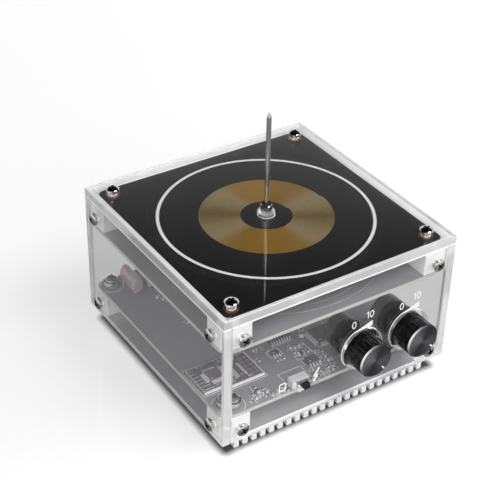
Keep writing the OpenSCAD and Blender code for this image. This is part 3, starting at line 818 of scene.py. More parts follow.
@dataclass(frozen=True)
class PanHeadScrew:
    """A pan-head screw with a cross recess and a cut thread, its head above z = 0."""

    head_d: float = 5.5
    head_h: float = 2.0
    rim_h: float = 1.2
    thread_d: float = 3.0
    root_d: float = 2.42
    pitch: float = 0.5
    recess_wide: float = 3.4
    recess_wing: float = 0.95
    recess_deep: float = 1.3

    def cross(self, size: float, wing: float, height: float) -> list[Vector]:
        """Gives the outline of the recess at one height.

        Args:
            size: Length of the cross.
            wing: Width of its wings.
            height: Where it lies.

        Returns:
            Its twelve points.
        """
        long, short = size / 2, wing / 2
        quarter = [(long, -short), (long, short), (short, short)]
        points = []
        for turn in range(4):
            spin = Matrix.Rotation(turn * math.pi / 2, 3, "Z")
            points += [spin @ Vector((x, y, height)) for x, y in quarter]
        return points

    @cached_property
    def head(self) -> Shape:
        """The domed head with its recess."""
        sag = self.head_h - self.rim_h
        dome = ((self.head_d / 2) ** 2 + sag**2) / (2 * sag)
        reach = math.asin(self.head_d / 2 / dome)
        arc = [(dome * math.sin(reach * k / 6),
                self.head_h - dome + dome * math.cos(reach * k / 6)) for k in range(6)]
        rim = [(self.head_d / 2 - 0.14, self.rim_h + 0.05), (self.head_d / 2, self.rim_h - 0.12),
               (self.head_d / 2, 0.14), (self.head_d / 2 - 0.14, 0), (0, 0)]
        body = Shape().turned([(0, self.head_h)] + arc[1:] + rim, sides=40)
        tip = Vector((0, 0, self.head_h - self.recess_deep - 0.35))
        tool = Shape().loft([self.cross(self.recess_wide * 1.04, self.recess_wing * 1.04,
                                        self.head_h + 0.1),
                             self.cross(self.recess_wide, self.recess_wing, self.head_h - 0.12),
                             self.cross(self.recess_wide * 0.5, self.recess_wing * 0.62,
                                        self.head_h - self.recess_deep), [tip]], 1)
        return body.cut(tool)

    def thread(self, grip: float) -> Shape:
        """Gives the threaded shank.

        Args:
            grip: How far down it reaches.

        Returns:
            The shank, its end drawn in.
        """
        sides, per_pitch = 20, 4
        rows = round(grip / self.pitch * per_pitch)
        rings = []
        for row in range(rows + 1):
            height = 0.1 - row * (grip + 0.1) / rows
            close = min(1.0, 0.72 + (grip + height) / 1.2)
            points = []
            for k in range(sides):
                phase = (height / self.pitch + k / sides) % 1
                crest = (1 - abs(2 * phase - 1)) ** 0.8
                radius = (self.root_d + (self.thread_d - self.root_d) * crest) / 2 * close
                points.append(polar(radius, 2 * math.pi * k / sides, height))
            rings.append(points)
        return Shape().loft(rings)

    def shape(self, grip: float) -> Shape:
        """Gives the whole screw for that length of shank."""
        return Shape().join(self.head).join(self.thread(grip))


@dataclass
class Fasteners:
    """All the screws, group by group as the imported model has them."""

    shop: Workshop
    screw: PanHeadScrew = PanHeadScrew()
    pillar_grip: float = 5.0
    # The cross recess is painted dark: painted shade in the recess
    recess: Finish = Finish("screw_recess_painted_dark", "plated_steel", (44, 43, 43), 0.7, 0.8, (0.3, 0.45))

    def group(self, node: str, places: Sequence[Matrix], grips: Sequence[float]) -> None:
        """Builds one node's screws.

        Args:
            node: The node that they replace.
            places: Where each head sits.
            grips: The shank's length of each.
        """
        shape = Shape()
        for number, (place, grip) in enumerate(zip(places, grips)):
            spin = at(0, 0, turn=23 + 37 * number)
            shape.join(self.screw.shape(grip), place @ spin)
        self.shop.fit(shape, node.removesuffix("s") + "_set", [Paint.SCREW, self.recess], replaces=[node])

    def four(self, node: str, facing: Facing, axis: int, outwards: int) -> None:
        """Builds a node's four screws, which all point the same way.

        Args:
            node: The node that they replace.
            facing: Where their heads point.
            axis: The axis they lie along.
            outwards: 1 where the heads are at the high end of the node's box, or -1.
        """
        box = box_of(node)
        length = box.size[axis]
        seat = (box.high[axis] - self.screw.head_h) if outwards > 0 else (box.low[axis] + self.screw.head_h)
        reach = self.screw.head_d / 2
        others = [k for k in range(3) if k != axis]
        places = []
        for a in (box.low[others[0]] + reach, box.high[others[0]] - reach):
            for b in (box.low[others[1]] + reach, box.high[others[1]] - reach):
                spot = [0.0, 0.0, 0.0]
                spot[axis], spot[others[0]], spot[others[1]] = seat, a, b
                places.append(facing.at(*spot))
        self.group(node, places, [length - self.screw.head_h] * 4)

    def pairs(self, node: str, ends: Sequence[tuple[Facing, float, float]]) -> None:
        """Builds a node's screws that stand in a pair.

        Args:
            node: The node that they replace.
            ends: For each pair, where the heads point, the height of their seat, and the grip.
        """
        box = box_of(node)
        reach = self.screw.head_d / 2
        places, grips = [], []
        for facing, seat, grip in ends:
            for x in (box.low.x + reach, box.high.x - reach):
                places.append(facing.at(x, box.middle.y, seat))
                grips.append(grip)
        self.group(node, places, grips)

    def build(self) -> None:
        """Builds every group."""
        self.four("top_screws", Facing.UP, 2, 1)
        self.four("board_screws", Facing.UP, 2, 1)
        self.four("primary_board_screws", Facing.DOWN, 2, -1)
        self.four("front_panel_screws", Facing.FRONT, 1, -1)
        self.four("back_panel_screws", Facing.BACK, 1, 1)
        self.four("left_panel_screws", Facing.LEFT, 0, -1)
        self.four("right_panel_screws", Facing.RIGHT, 0, 1)
        short = box_of("transistor_screws")
        self.pairs("transistor_screws", [(Facing.UP, short.high.z - self.screw.head_h,
                                          short.size.z - self.screw.head_h)])
        tall = box_of("pillar_screws")
        grip = box_of("primary_board").high.z - box_of("feed_pillars").high.z + self.pillar_grip
        self.pairs("pillar_screws", [(Facing.UP, tall.high.z - self.screw.head_h, grip),
                                     (Facing.DOWN, tall.low.z + self.screw.head_h, grip)])


# Case ------------------------


@dataclass(frozen=True)
class Hole:
    """A hole through a sheet: its centre in the frame, and its radius or its two half sizes."""

    centre: Vector
    radius: float = 0.0
    half: Flat = (0.0, 0.0)


@dataclass
class AcrylicCase:
    """The top plate, the four side sheets and the eight corner blocks, all in clear acrylic."""

    shop: Workshop
    chamfer: float = 0.28
    relief: float = 0.02
    screw_hole_r: float = 1.6
    tap_r: float = 1.53
    tap_deep: float = 2.7
    socket_gap: float = 0.35
    knob_gap: float = 1.65
    slot_gap: float = 0.4
    inlet_gap: float = 0.3
    corner_r: float = 0.5
    slot_half: float = 2.75
    rim: float = 0.6
    window_reach: float = 4.5

    @cached_property
    def corner(self) -> float:
        """Distance of the corner screws from the middle, both ways."""
        blocks = box_of("lower_corner_blocks")
        return blocks.high.x - blocks.size.z / 2

    @cached_property
    def levels(self) -> Flat:
        """Heights of the two rows of side screws."""
        return (box_of("lower_corner_blocks").middle.z, box_of("upper_corner_blocks").middle.z)

    def sheet(self, node: str, facing: Facing, holes: Sequence[Hole], face: Acrylic, edge: Acrylic) -> None:
        """Builds one sheet with its holes, its edges eased.

        Args:
            node: The node that it replaces.
            facing: Where the sheet's outer face points.
            holes: The holes through it.
            face: Finish of the polished faces.
            edge: Finish of the cut edges.
        """
        box = box_of(node)
        place = facing.at(*box.middle)
        back = place.inverted()
        size = [abs(v) - 2 * self.relief for v in back.to_3x3() @ box.size]
        curve = bpy.data.curves.new(node + "_outline", "CURVE")
        curve.dimensions, curve.fill_mode = "2D", "BOTH"
        curve.extrude = (size[2] / 2 - self.chamfer) * MM
        curve.bevel_depth, curve.bevel_resolution, curve.offset = self.chamfer * MM, 0, -self.chamfer * MM
        outlines = [rounded_outline(size[0], size[1], self.corner_r, 3)]
        for hole in holes:
            spot = back @ hole.centre
            if hole.radius:
                outline = circle(hole.radius, 72)
            else:
                reach = back.to_3x3() @ Vector((hole.half[0], hole.half[0], hole.half[1]))
                outline = rounded_outline(2 * abs(reach.x), 2 * abs(reach.y), 0.3, 3)
            outlines.append([(x + spot.x, y + spot.y) for x, y in reversed(outline)])
        for outline in outlines:
            line = curve.splines.new("POLY")
            line.points.add(len(outline) - 1)
            line.use_cyclic_u = True
            for point, (x, y) in zip(line.points, outline):
                point.co = (x * MM, y * MM, 0, 1)
        item = linked("outline", curve)
        bpy.context.view_layer.update()
        mesh = bpy.data.meshes.new_from_object(item.evaluated_get(bpy.context.evaluated_depsgraph_get()))
        bpy.data.objects.remove(item)
        work = bmesh.new()
        work.from_mesh(mesh)
        bmesh.ops.remove_doubles(work, verts=work.verts, dist=0.002 * MM)
        bmesh.ops.recalc_face_normals(work, faces=work.faces)
        work.normal_update()
        windows = [back @ hole.centre for hole in holes if not hole.radius]
        marks = []
        for polygon in work.faces:
            middle = polygon.calc_center_median() / MM
            inside = all(abs(v) < side / 2 - self.rim for v, side in zip(middle.xy, size))
            framed = any((middle - window).xy.length < self.window_reach for window in windows)
            slope, rise = abs(polygon.normal.z), abs((place.to_3x3() @ polygon.normal).z)
            upright = facing is not Facing.UP and rise < 0.5
            bored = inside and (slope < 0.3 or framed)
            marks.append(0 if slope > 0.95 else 2 if bored else 3 if upright and not inside else 1)
        in_metres = Matrix.Scale(MM, 4) @ place @ Matrix.Scale(1 / MM, 4)
        bmesh.ops.transform(work, matrix=in_metres, verts=work.verts)
        work.to_mesh(mesh)
        work.free()
        finishes = [face, edge, Paint.BORED_WALL, Paint.CUT_EDGE_Z]
        piece = self.shop.fit(mesh, node + "_clear", finishes, "case", [node], crease=20)
        piece.data.polygons.foreach_set("material_index", marks)

    def screw_holes(self, axis: int, depth: float) -> list[Hole]:
        """Gives a side sheet's four screw holes.

        Args:
            axis: The axis that the sheet faces along.
            depth: The sheet's place along that axis.

        Returns:
            The holes.
        """
        holes = []
        for across in (-self.corner, self.corner):
            for level in self.levels:
                spot = Vector((across, across, level))
                spot[axis] = depth
                holes.append(Hole(spot, self.screw_hole_r))
        return holes

    def front_holes(self) -> list[Hole]:
        """Finds the front sheet's holes.

        Returns:
            Those of the screws, the two knobs and the switch's lever.
        """
        depth = box_of("front_panel").middle.y
        holes = self.screw_holes(1, depth)
        for knob in ("power_knob", "pitch_knob"):
            box = box_of(knob)
            holes.append(Hole(Vector((box.middle.x, depth, box.middle.z)), box.size.x / 2 + self.knob_gap))
        shell, lever = box_of("switch_shell"), box_of("switch_lever")
        half = (self.slot_half, lever.size.z / 2 + self.slot_gap)
        holes.append(Hole(Vector((shell.middle.x, depth, lever.middle.z)), half=half))
        return holes

    def back_holes(self) -> list[Hole]:
        """Finds the back sheet's holes.

        Returns:
            Those of the screws and the two inlets.
        """
        depth = box_of("back_panel").middle.y
        audio, power = box_of("audio_inlet"), box_of("power_inlet")
        return self.screw_holes(1, depth) + [
            Hole(Vector((audio.middle.x, depth, audio.middle.z)), audio.size.z / 2 + self.inlet_gap),
            Hole(Vector((power.middle.x, depth, power.middle.z)),
                 half=(power.size.x / 2 + self.inlet_gap, power.size.z / 2 + self.inlet_gap)),
        ]

    def blocks(self, node: str, upright_r: float) -> None:
        """Builds the four corner blocks of one level.

        Args:
            node: The node that they replace.
            upright_r: Radius of the upright hole.
        """
        box = box_of(node)
        half = box.size.z / 2
        body = Shape().block((-half + self.relief,) * 3, (half - self.relief,) * 3, edge=0.3)
        body = body.cut(Shape().extruded(circle(upright_r, 40), -half - 1, half + 1))
        for facing in (Facing.RIGHT, Facing.BACK):
            bore = circle(self.tap_r, 40)
            tool = Shape().extruded(bore, half - self.tap_deep, half + 1, place=facing.at(0, 0, 0))
            body = body.cut(tool)
        group = Shape()
        for quarter in range(4):
            spot = Matrix.Rotation(quarter * math.pi / 2, 4, "Z")
            group.join(body, spot @ at(self.corner, self.corner, box.middle.z))
        self.shop.fit(group, node + "_clear", [Paint.BLOCK_FACE], replaces=[node], crease=25)

    def build(self) -> None:
        """Builds every clear piece."""
        plate, socket = box_of("top_plate"), box_of("needle_socket")
        corners = [Hole(Vector((x, y, plate.middle.z)), self.screw_hole_r)
                   for x in (-self.corner, self.corner) for y in (-self.corner, self.corner)]
        centre = Hole(Vector((0, 0, plate.middle.z)), socket.size.x / 2 + self.socket_gap)
        self.sheet("top_plate", Facing.UP, corners + [centre], Paint.CLEAR_FACE, Paint.CUT_EDGE_Z)
        self.sheet("front_panel", Facing.FRONT, self.front_holes(), Paint.CLEAR_FRONT, Paint.CUT_EDGE_Y)
        self.sheet("back_panel", Facing.BACK, self.back_holes(), Paint.CLEAR_SIDE, Paint.CUT_EDGE_Y)
        for node, facing in (("left_panel", Facing.LEFT), ("right_panel", Facing.RIGHT)):
            holes = self.screw_holes(0, box_of(node).middle.x)
            self.sheet(node, facing, holes, Paint.CLEAR_SIDE, Paint.CUT_EDGE_X)
        self.blocks("lower_corner_blocks", self.screw_hole_r)
        self.blocks("upper_corner_blocks", self.tap_r)


# Heat sink ------------------------


@dataclass
class HeatSink:
    """The finned aluminium extrusion that is the floor of the case."""

    shop: Workshop
    base_t: float = 3.5
    fin_t: float = 2.4
    fin_pitch: float = 4.09
    fin_count: int = 23
    tip_r: float = 0.3

    def outline(self) -> list[Flat]:
        """Draws the comb seen from the front.

        Returns:
            Its outline, anticlockwise from the upper left corner.
        """
        box = box_of("heat_sink")
        root, half = box.high.z - self.base_t, self.fin_t / 2
        points: list[Flat] = [(box.low.x, box.high.z), (box.low.x, root)]
        for fin in range(self.fin_count):
            x = (fin - (self.fin_count - 1) / 2) * self.fin_pitch
            for side in (-1, 1):
                edge = x + side * half
                corner = [(edge + side * self.tip_r, root), (edge, root - self.tip_r), (edge, self.tip_r),
                          (edge - side * self.tip_r, 0)]
                points += corner if side < 0 else corner[::-1]
        return points + [(box.high.x, root), (box.high.x, box.high.z)]

    def build(self) -> None:
        """Builds the extrusion along Y."""
        box = box_of("heat_sink")
        shape = Shape().extruded(self.outline(), -box.high.y, -box.low.y, edge=0.15,
                                 place=Facing.FRONT.at(0, 0, 0))
        piece = self.shop.fit(shape, "finned_base", [Paint.HEAT_SINK, Paint.HEAT_SINK_TOP],
                              replaces=["heat_sink"], crease=25)
        top = (box.high.z - 1) * MM
        for polygon in piece.data.polygons:
            upper = polygon.normal.z > 0.9 and polygon.center.z > top
            polygon.material_index = 1 if upper else 0


# Boards ------------------------


@dataclass
class SpiralBoard:
    """The top board: the fine flat spiral, the white ring, and the gold pads of its corners."""

    shop: Workshop
    turns: int = 25
    inner_r: float = 10.1
    outer_r: float = 27.45
    track_w: float = 0.5
    track_t: float = 0.05
    steps_per_turn: int = 120
    ring_r: Flat = (42.75, 44.05)
    band_r: Flat = (44.3, 48.4)

    def washer(self, radii: Flat, low: float, high: float) -> Shape:
        """Gives a flat ring between two heights."""
        inner, outer = radii
        return Shape().turned([(inner, low), (outer, low), (outer, high), (inner, high)], sides=256,
                              closed=True)

    def spiral(self, base: float) -> Shape:
        """Gives the track as one unbroken run.

        Args:
            base: Height of the face it lies on.

        Returns:
            The track.
        """
        pitch = (self.outer_r - self.inner_r - self.track_w) / self.turns
        section = [(-0.5, 0.0), (-0.42, 1.0), (0.42, 1.0), (0.5, 0.0)]
        rings = []
        for step in range(self.turns * self.steps_per_turn + 1):
            turn = step / self.steps_per_turn
            angle = 2 * math.pi * turn
            radius = self.inner_r + self.track_w / 2 + pitch * turn
            rings.append([polar(radius + out * self.track_w, angle, base + up * self.track_t)
                          for out, up in section])
        return Shape().loft(rings)

    def build(self) -> None:
        """Builds the board's tracks and marks and dresses its nodes."""
        top = box_of("secondary_board").high.z
        self.shop.dress("secondary_board", Paint.MASK, Paint.LAMINATE)
        self.shop.dress("corner_pads", Paint.GOLD)
        self.shop.fit(self.spiral(top), "fine_spiral", [Paint.COPPER], replaces=["secondary_winding"],
                      crease=30)
        self.shop.fit(self.washer(self.ring_r, top, top + 0.03), "white_ring", [Paint.INK])
        self.shop.fit(self.washer(self.band_r, top, top + 0.02), "masked_band", [Paint.MASKED_RING])


@dataclass
class PrimaryBoard:
    """The board below the spiral, with three broad turns under its mask."""

    shop: Workshop
    turns: int = 3
    track_w: float = 3.0
    pitch: float = 3.6
    steps_per_turn: int = 144

    def build(self) -> None:
        """Builds the masked track as one unbroken run and dresses the board."""
        box = box_of("primary_winding")
        outer = box.high.y - self.track_w / 2
        inner = outer - self.turns * self.pitch
        half, thick = self.track_w / 2, box.size.z
        section = [(-half, 0), (-half, thick * 0.5), (-half + 0.16, thick), (half - 0.16, thick),
                   (half, thick * 0.5), (half, 0)]
        rings = []
        for step in range(self.turns * self.steps_per_turn + 1):
            turn = step / self.steps_per_turn
            angle = math.pi / 2 + 2 * math.pi * turn
            radius = inner + self.pitch * turn
            rings.append([polar(radius + out, angle, box.low.z + up) for out, up in section])
        # The masked turns and the board are painted pale grey, a painted reflection of the clear sheets'
        # haze
        self.shop.fit(Shape().loft(rings), "broad_turns", [Paint.PAINTED_PALE_TRACK],
                      replaces=["primary_winding"])
        self.shop.dress("primary_board", Paint.PAINTED_PALE_MASK, Paint.LAMINATE)


class Part(Enum):
    """Small parts soldered flat to a board: length, width, height, and the finish of the body."""

    RESISTOR = (1.6, 0.8, 0.5, 0)
    CAPACITOR = (1.7, 0.95, 0.85, 1)
    LARGE_CAPACITOR = (2.9, 1.7, 1.3, 1)
    DIODE = (2.6, 1.4, 1.0, 0)


# Short names for the table of parts
RES, CAP, BIG, DIO = Part


@dataclass
class MainBoard:
    """The main board: printed outlines, chips, the receiver module and the small parts."""

    shop: Workshop
    ring_r: float = 5.0
    ink_w: float = 0.22
    lead_w: float = 0.42
    lead_half_t: float = 0.09
    board_half: float = 49.7
    module_t: float = 1.0
    module_rim: float = 0.75
    seed: int = 7
    # Chips as [x, y, size, leads on each side]
    chip_set: tuple[tuple[float, float, Point, tuple[int, ...]], ...] = (
        (-8.0, -19.0, (10.2, 7.4, 2.2), (8, 8, 0, 0)),
        (8.5, -28.2, (8.6, 8.6, 1.8), (11, 11, 11, 11)),
        (-4.4, -39.4, (5.0, 4.0, 1.6), (4, 4, 0, 0)),
        (-14.2, -27.6, (3.0, 2.6, 0.9), (3, 3, 0, 0)),
    )
    # The module's small parts as [x, y, turn in degrees], from its front left corner
    module_parts: tuple[Point, ...] = (
        (12.6, 3.4, 90), (12.6, 5.6, 90), (12.6, 10.6, 90), (14.6, 13.2, 0), (17.4, 13.4, 0),
        (10.6, 1.7, 0), (7.2, 1.7, 0), (18.2, 1.6, 0),
    )
    # Printed rectangles by two corners, and printed lines
    frames: tuple[tuple[Flat, Flat], ...] = (
        ((-20.6, -49.4), (-10.0, -39.4)), ((3.4, -33.6), (13.4, -23.2)),
        ((-17.0, -29.6), (-11.4, -25.6)), ((-8.6, -36.2), (-4.2, -33.4)),
    )
    lines: tuple[tuple[Flat, ...], ...] = (
        ((-0.6, -27.8), (-0.6, -34.6), (1.2, -34.6)), ((-8.0, -37.0), (-8.0, -40.2)),
        ((-17.0, -20.6), (-17.0, -23.6)), ((16.5, -24.8), (19.5, -27.6)),
    )
    # Small parts as [kind, x, y, turn in degrees]
    parts: tuple[tuple[Part, float, float, float], ...] = (
        (CAP, -20.0, -22.2, 0), (RES, -15.7, -31.8, 90), (RES, -12.8, -31.8, 90),
        (CAP, -7.1, -28.0, 90), (RES, -7.3, -31.2, 90), (CAP, -4.8, -29.4, 0), (CAP, -2.2, -28.8, 0),
        (DIO, -5.4, -33.6, 0), (RES, -2.2, -33.2, 90), (BIG, 1.6, -23.6, 60), (RES, 4.1, -20.6, 90),
        (RES, 14.5, -21.5, 0), (CAP, 18.8, -21.5, 0), (RES, 14.6, -25.2, 90), (RES, 16.6, -27.4, 90),
        (CAP, 0.4, -36.0, 0), (RES, 2.6, -36.0, 90), (RES, -1.0, -38.6, 90), (CAP, 1.8, -39.4, 90),
        (RES, -0.6, -41.3, 0), (CAP, 2.2, -42.6, 0), (RES, -0.9, -45.4, 90), (RES, 1.2, -45.6, 90),
        (RES, 0.9, -48.0, 0), (RES, -1.4, -48.1, 0), (CAP, -8.0, -43.9, 0), (RES, -5.0, -45.8, 90),
        (CAP, -4.3, -48.2, 0), (RES, -7.3, -48.3, 0), (RES, -10.6, -48.0, 90), (CAP, -28.2, -48.7, 0),
        (RES, -30.6, -47.6, 0), (BIG, -25.2, -48.2, 0), (RES, -22.3, -48.6, 90),
        (RES, -22.3, -46.4, 90), (CAP, -29.8, -45.2, 90), (RES, -32.5, -40.7, 90),
        (DIO, -32.8, -43.3, 90), (CAP, -32.7, -46.1, 0), (CAP, -35.2, -46.2, 90),
        (RES, -35.4, -43.8, 90), (RES, -30.2, -43.0, 90), (RES, -37.4, -47.4, 0),
        (CAP, -32.6, 27.4, 30), (CAP, -31.0, 24.6, 0), (RES, -31.1, 6.4, 90), (CAP, 22.0, -18.0, 0),
        (RES, 25.5, -18.2, 90), (BIG, 24.0, -8.0, 90), (RES, -22.0, -28.0, 90), (DIO, 30.0, -12.0, 0),
        (RES, -12.0, 2.0, 0), (CAP, 6.0, 4.0, 90), (BIG, -6.0, 30.0, 0), (DIO, 10.0, 34.0, 90),
        (CAP, 14.0, 44.0, 0), (RES, -10.0, 44.0, 90),
    )

    @cached_property
    def top(self) -> float:
        """Height of the board's upper face."""
        return box_of("main_board").high.z

    def soldered(self, shape: Shape, kind: Part, place: Matrix) -> None:
        """Adds one small part.

        Args:
            shape: The shape to add to; finish 0 or 1 is the body, 2 the metal ends and pads.
            kind: Which part.
            place: Where it stands.
        """
        length, width, height, finish = kind.value
        cap = length * 0.2
        shape.block((-length / 2 + cap, -width / 2, 0.05), (length / 2 - cap, width / 2, height), finish,
                    0.06, place)
        for side in (-1, 1):
            near, far = sorted((side * (length / 2 - cap), side * length / 2))
            shape.block((near, -width / 2 - 0.02, 0.03), (far, width / 2 + 0.02, height + 0.02), 2, 0.07,
                        place)
            pad_low, pad_high = sorted((side * (length / 2 - cap), side * (length / 2 + 0.32)))
            shape.block((pad_low, -width / 2 - 0.12, 0), (pad_high, width / 2 + 0.12, 0.05), 2, 0.02, place)

    def chip(self, shape: Shape, size: Point, leads: Sequence[int], place: Matrix) -> None:
        """Adds a chip with bent leads.

        Args:
            shape: The shape to add to; finish 0 is the body, 1 the leads.
            size: Width, depth and height of the body.
            leads: Number of leads at the front, back, left and right.
            place: Centre of its underside.
        """
        width, depth, height = size
        body_low = height * 0.12
        shape.block((-width / 2, -depth / 2, body_low), (width / 2, depth / 2, height), 0, 0.14, place)
        shape.turned([(0, height), (0.34, height), (0.3, height + 0.008), (0, height + 0.008)], 1,
                     place @ at(-width / 2 + 0.9, -depth / 2 + 0.9), 16)
        for number, (count, turn) in enumerate(zip(leads, (180, 0, 90, -90))):
            along, out = (width, depth) if number < 2 else (depth, width)
            spin = place @ at(0, 0, turn=turn)
            for index in range(count):
                x = (index - (count - 1) / 2) * (along * 0.84 / max(1, count - 1))
                bends = [(out / 2 - 0.1, height * 0.55), (out / 2 + 0.35, height * 0.55),
                         (out / 2 + 0.6, 0.12), (out / 2 + 1.25, 0.08)]
                section = ((-1, -1), (1, -1), (1, 1), (-1, 1))
                rings = [[Vector((x + a * self.lead_w / 2, y, z + b * self.lead_half_t))
                          for a, b in section] for y, z in bends]
                shape.loft(rings, 1, spin)
                pad = self.lead_w * 0.62
                shape.block((x - pad, out / 2 + 0.5, 0), (x + pad, out / 2 + 1.7, 0.04), 1, 0.01, spin)

    def chips(self) -> None:
        """Builds the chips of the main board with their leads."""
        shape = Shape()
        for x, y, size, leads in self.chip_set:
            self.chip(shape, size, leads, at(x, y, self.top))
        self.shop.fit(shape, "board_chips", [Paint.CHIP, Paint.TIN], replaces=["driver_chips"])

    def module(self) -> None:
        """Builds the receiver module: its board, castellated pads, two chips and small parts."""
        box = box_of("receiver_module")
        low, face = box.low, box.low.z + self.module_t
        shape = Shape().block((low.x, low.y + 0.12, low.z), (box.high.x, box.high.y, face), 0, 0.05)
        shape.block((low.x + 0.05, low.y, low.z), (box.high.x - 0.05, low.y + 0.12, face), 5, 0.02)
        for index in range(7):
            y = low.y + 1.5 + index * 2.05
            long = 5.4 - 0.55 * index
            shape.block((low.x - 0.03, y - 0.34, low.z - 0.01), (low.x + 1.6, y + 0.34, face + 0.03), 3,
                        0.02)
            shape.block((low.x + 1.6, y - 0.13, face), (low.x + long, y + 0.13, face + 0.03), 5, 0.02)
        for index in range(5):
            for x in (box.high.x - 4.2, box.high.x - 1.7):
                y = low.y + 2.6 + index * 2.4
                shape.turned([(0.42, face), (0.78, face), (0.78, face + 0.03), (0.42, face + 0.03)], 3,
                             at(x, y), 20, True)
        for index in range(9):
            x, y = low.x + 5.0 + index * 1.9, box.high.y
            shape.block((x - 0.34, y - 1.5, low.z - 0.01), (x + 0.34, y + 0.03, face + 0.03), 3, 0.02)
        corner = at(low.x, low.y, face)
        for size, leads, spot in (((6.0, 6.0, 0.9), (9, 9, 9, 9), (8.6, 7.4, 0)),
                                  ((2.2, 8.4, 0.8), (0, 0, 10, 10), (15.6, 6.8, 0))):
            self.chip(shape, size, leads, corner @ Matrix.Translation(spot))
        shape.block((low.x + 8.6, low.y + 12.2, face), (low.x + 12.0, low.y + 14.2, face + 0.9), 2, 0.1)
        for x, y, turn in self.module_parts:
            place = corner @ at(x, y, turn=turn)
            shape.block((-0.5, -0.27, 0), (0.5, 0.27, 0.4), 4, 0.05, place)
            for side in (-0.55, 0.55):
                shape.block((side - 0.14, -0.3, 0), (side + 0.14, 0.3, 0.42), 1, 0.04, place)
        inset, pen = 0.35, 0.28
        near, far = (low.x + inset, low.y + inset), (box.high.x - inset, box.high.y - inset)
        outline = [near, (far[0], near[1]), far, (near[0], far[1])]
        shape.stroke(outline, pen, 5, closed=True, place=at(0, 0, face))
        self.shop.fit(shape, "receiver_board", [Paint.MODULE, Paint.TIN, Paint.GREY_PART, Paint.MODULE_PAD,
                                                Paint.CERAMIC, Paint.INK], replaces=["receiver_module"])

    def ink(self) -> None:
        """Prints the board's white outlines: rings round the screws, part outlines and ticks."""
        shape, level = Shape(), at(0, 0, self.top)
        blocks = box_of("lower_corner_blocks")
        corner = blocks.high.x - blocks.size.z / 2
        for x in (-corner, corner):
            for y in (-corner, corner):
                around = [(x + a, y + b) for a, b in circle(self.ring_r, 64)]
                inside = [p for p in around if max(abs(p[0]), abs(p[1])) < self.board_half]
                for run in self.runs(around, inside):
                    shape.stroke(run, self.ink_w, place=level)
        module = box_of("receiver_module")
        rim = self.module_rim
        edges = ((module.low.x - rim, module.low.y - rim), (module.high.x + rim, module.high.y + rim))
        for low, high in (edges, *self.frames):
            self.frame(shape, low, high, level)
        for path in self.lines:
            shape.stroke(path, self.ink_w, place=level)
        rng = Random(self.seed)
        for kind, x, y, turn in self.parts:
            for _ in range(2):
                dx, dy = rng.uniform(-1, 1), rng.choice((-1.35, 1.35))
                spin = Matrix.Rotation(math.radians(turn), 2)
                a, b = (spin @ Vector(p) for p in ((dx - 0.35, dy), (dx + 0.35, dy)))
                shape.stroke([(x + a.x, y + a.y), (x + b.x, y + b.y)], 0.3, place=level)
        self.shop.fit(shape, "board_ink", [Paint.INK])

    def runs(self, around: Sequence[Flat], inside: Sequence[Flat]) -> list[list[Flat]]:
        """Splits a closed run of points into the stretches that lie inside.

        Args:
            around: All the points, in order.
            inside: Those that stay.

        Returns:
            The stretches, each with at least two points.
        """
        kept = set(inside)
        start = next((k for k, p in enumerate(around) if p not in kept), None)
        if start is None:
            return [[*around, around[0]]]
        stretches: list[list[Flat]] = [[]]
        for step in range(len(around)):
            point = around[(start + step) % len(around)]
            if point in kept:
                stretches[-1].append(point)
            elif stretches[-1]:
                stretches.append([])
        return [stretch for stretch in stretches if len(stretch) > 1]

    def frame(self, shape: Shape, low: Flat, high: Flat, level: Matrix) -> None:
        """Prints a thin rectangle."""
        corners = [low, (high[0], low[1]), high, (low[0], high[1])]
        shape.stroke(corners, self.ink_w, closed=True, place=level)

    def small_parts(self) -> None:
        """Builds the small parts soldered flat to the board."""
        shape = Shape()
        for kind, x, y, turn in self.parts:
            place = at(x, y, self.top, turn)
            self.soldered(shape, kind, place)
        self.shop.fit(shape, "soldered_parts", [Paint.GREY_PART, Paint.CERAMIC, Paint.TIN])

    def build(self) -> None:
        """Builds everything on the main board."""
        # The board's black mask is painted pale grey, a painted reflection of the clear sheets' haze
        self.shop.dress("main_board", Paint.PAINTED_PALE_MASK, Paint.LAMINATE)
        self.shop.dress("board_spacers", Paint.SCREW)
        self.chips()
        self.module()
        self.ink()
        self.small_parts()


# Controls ------------------------


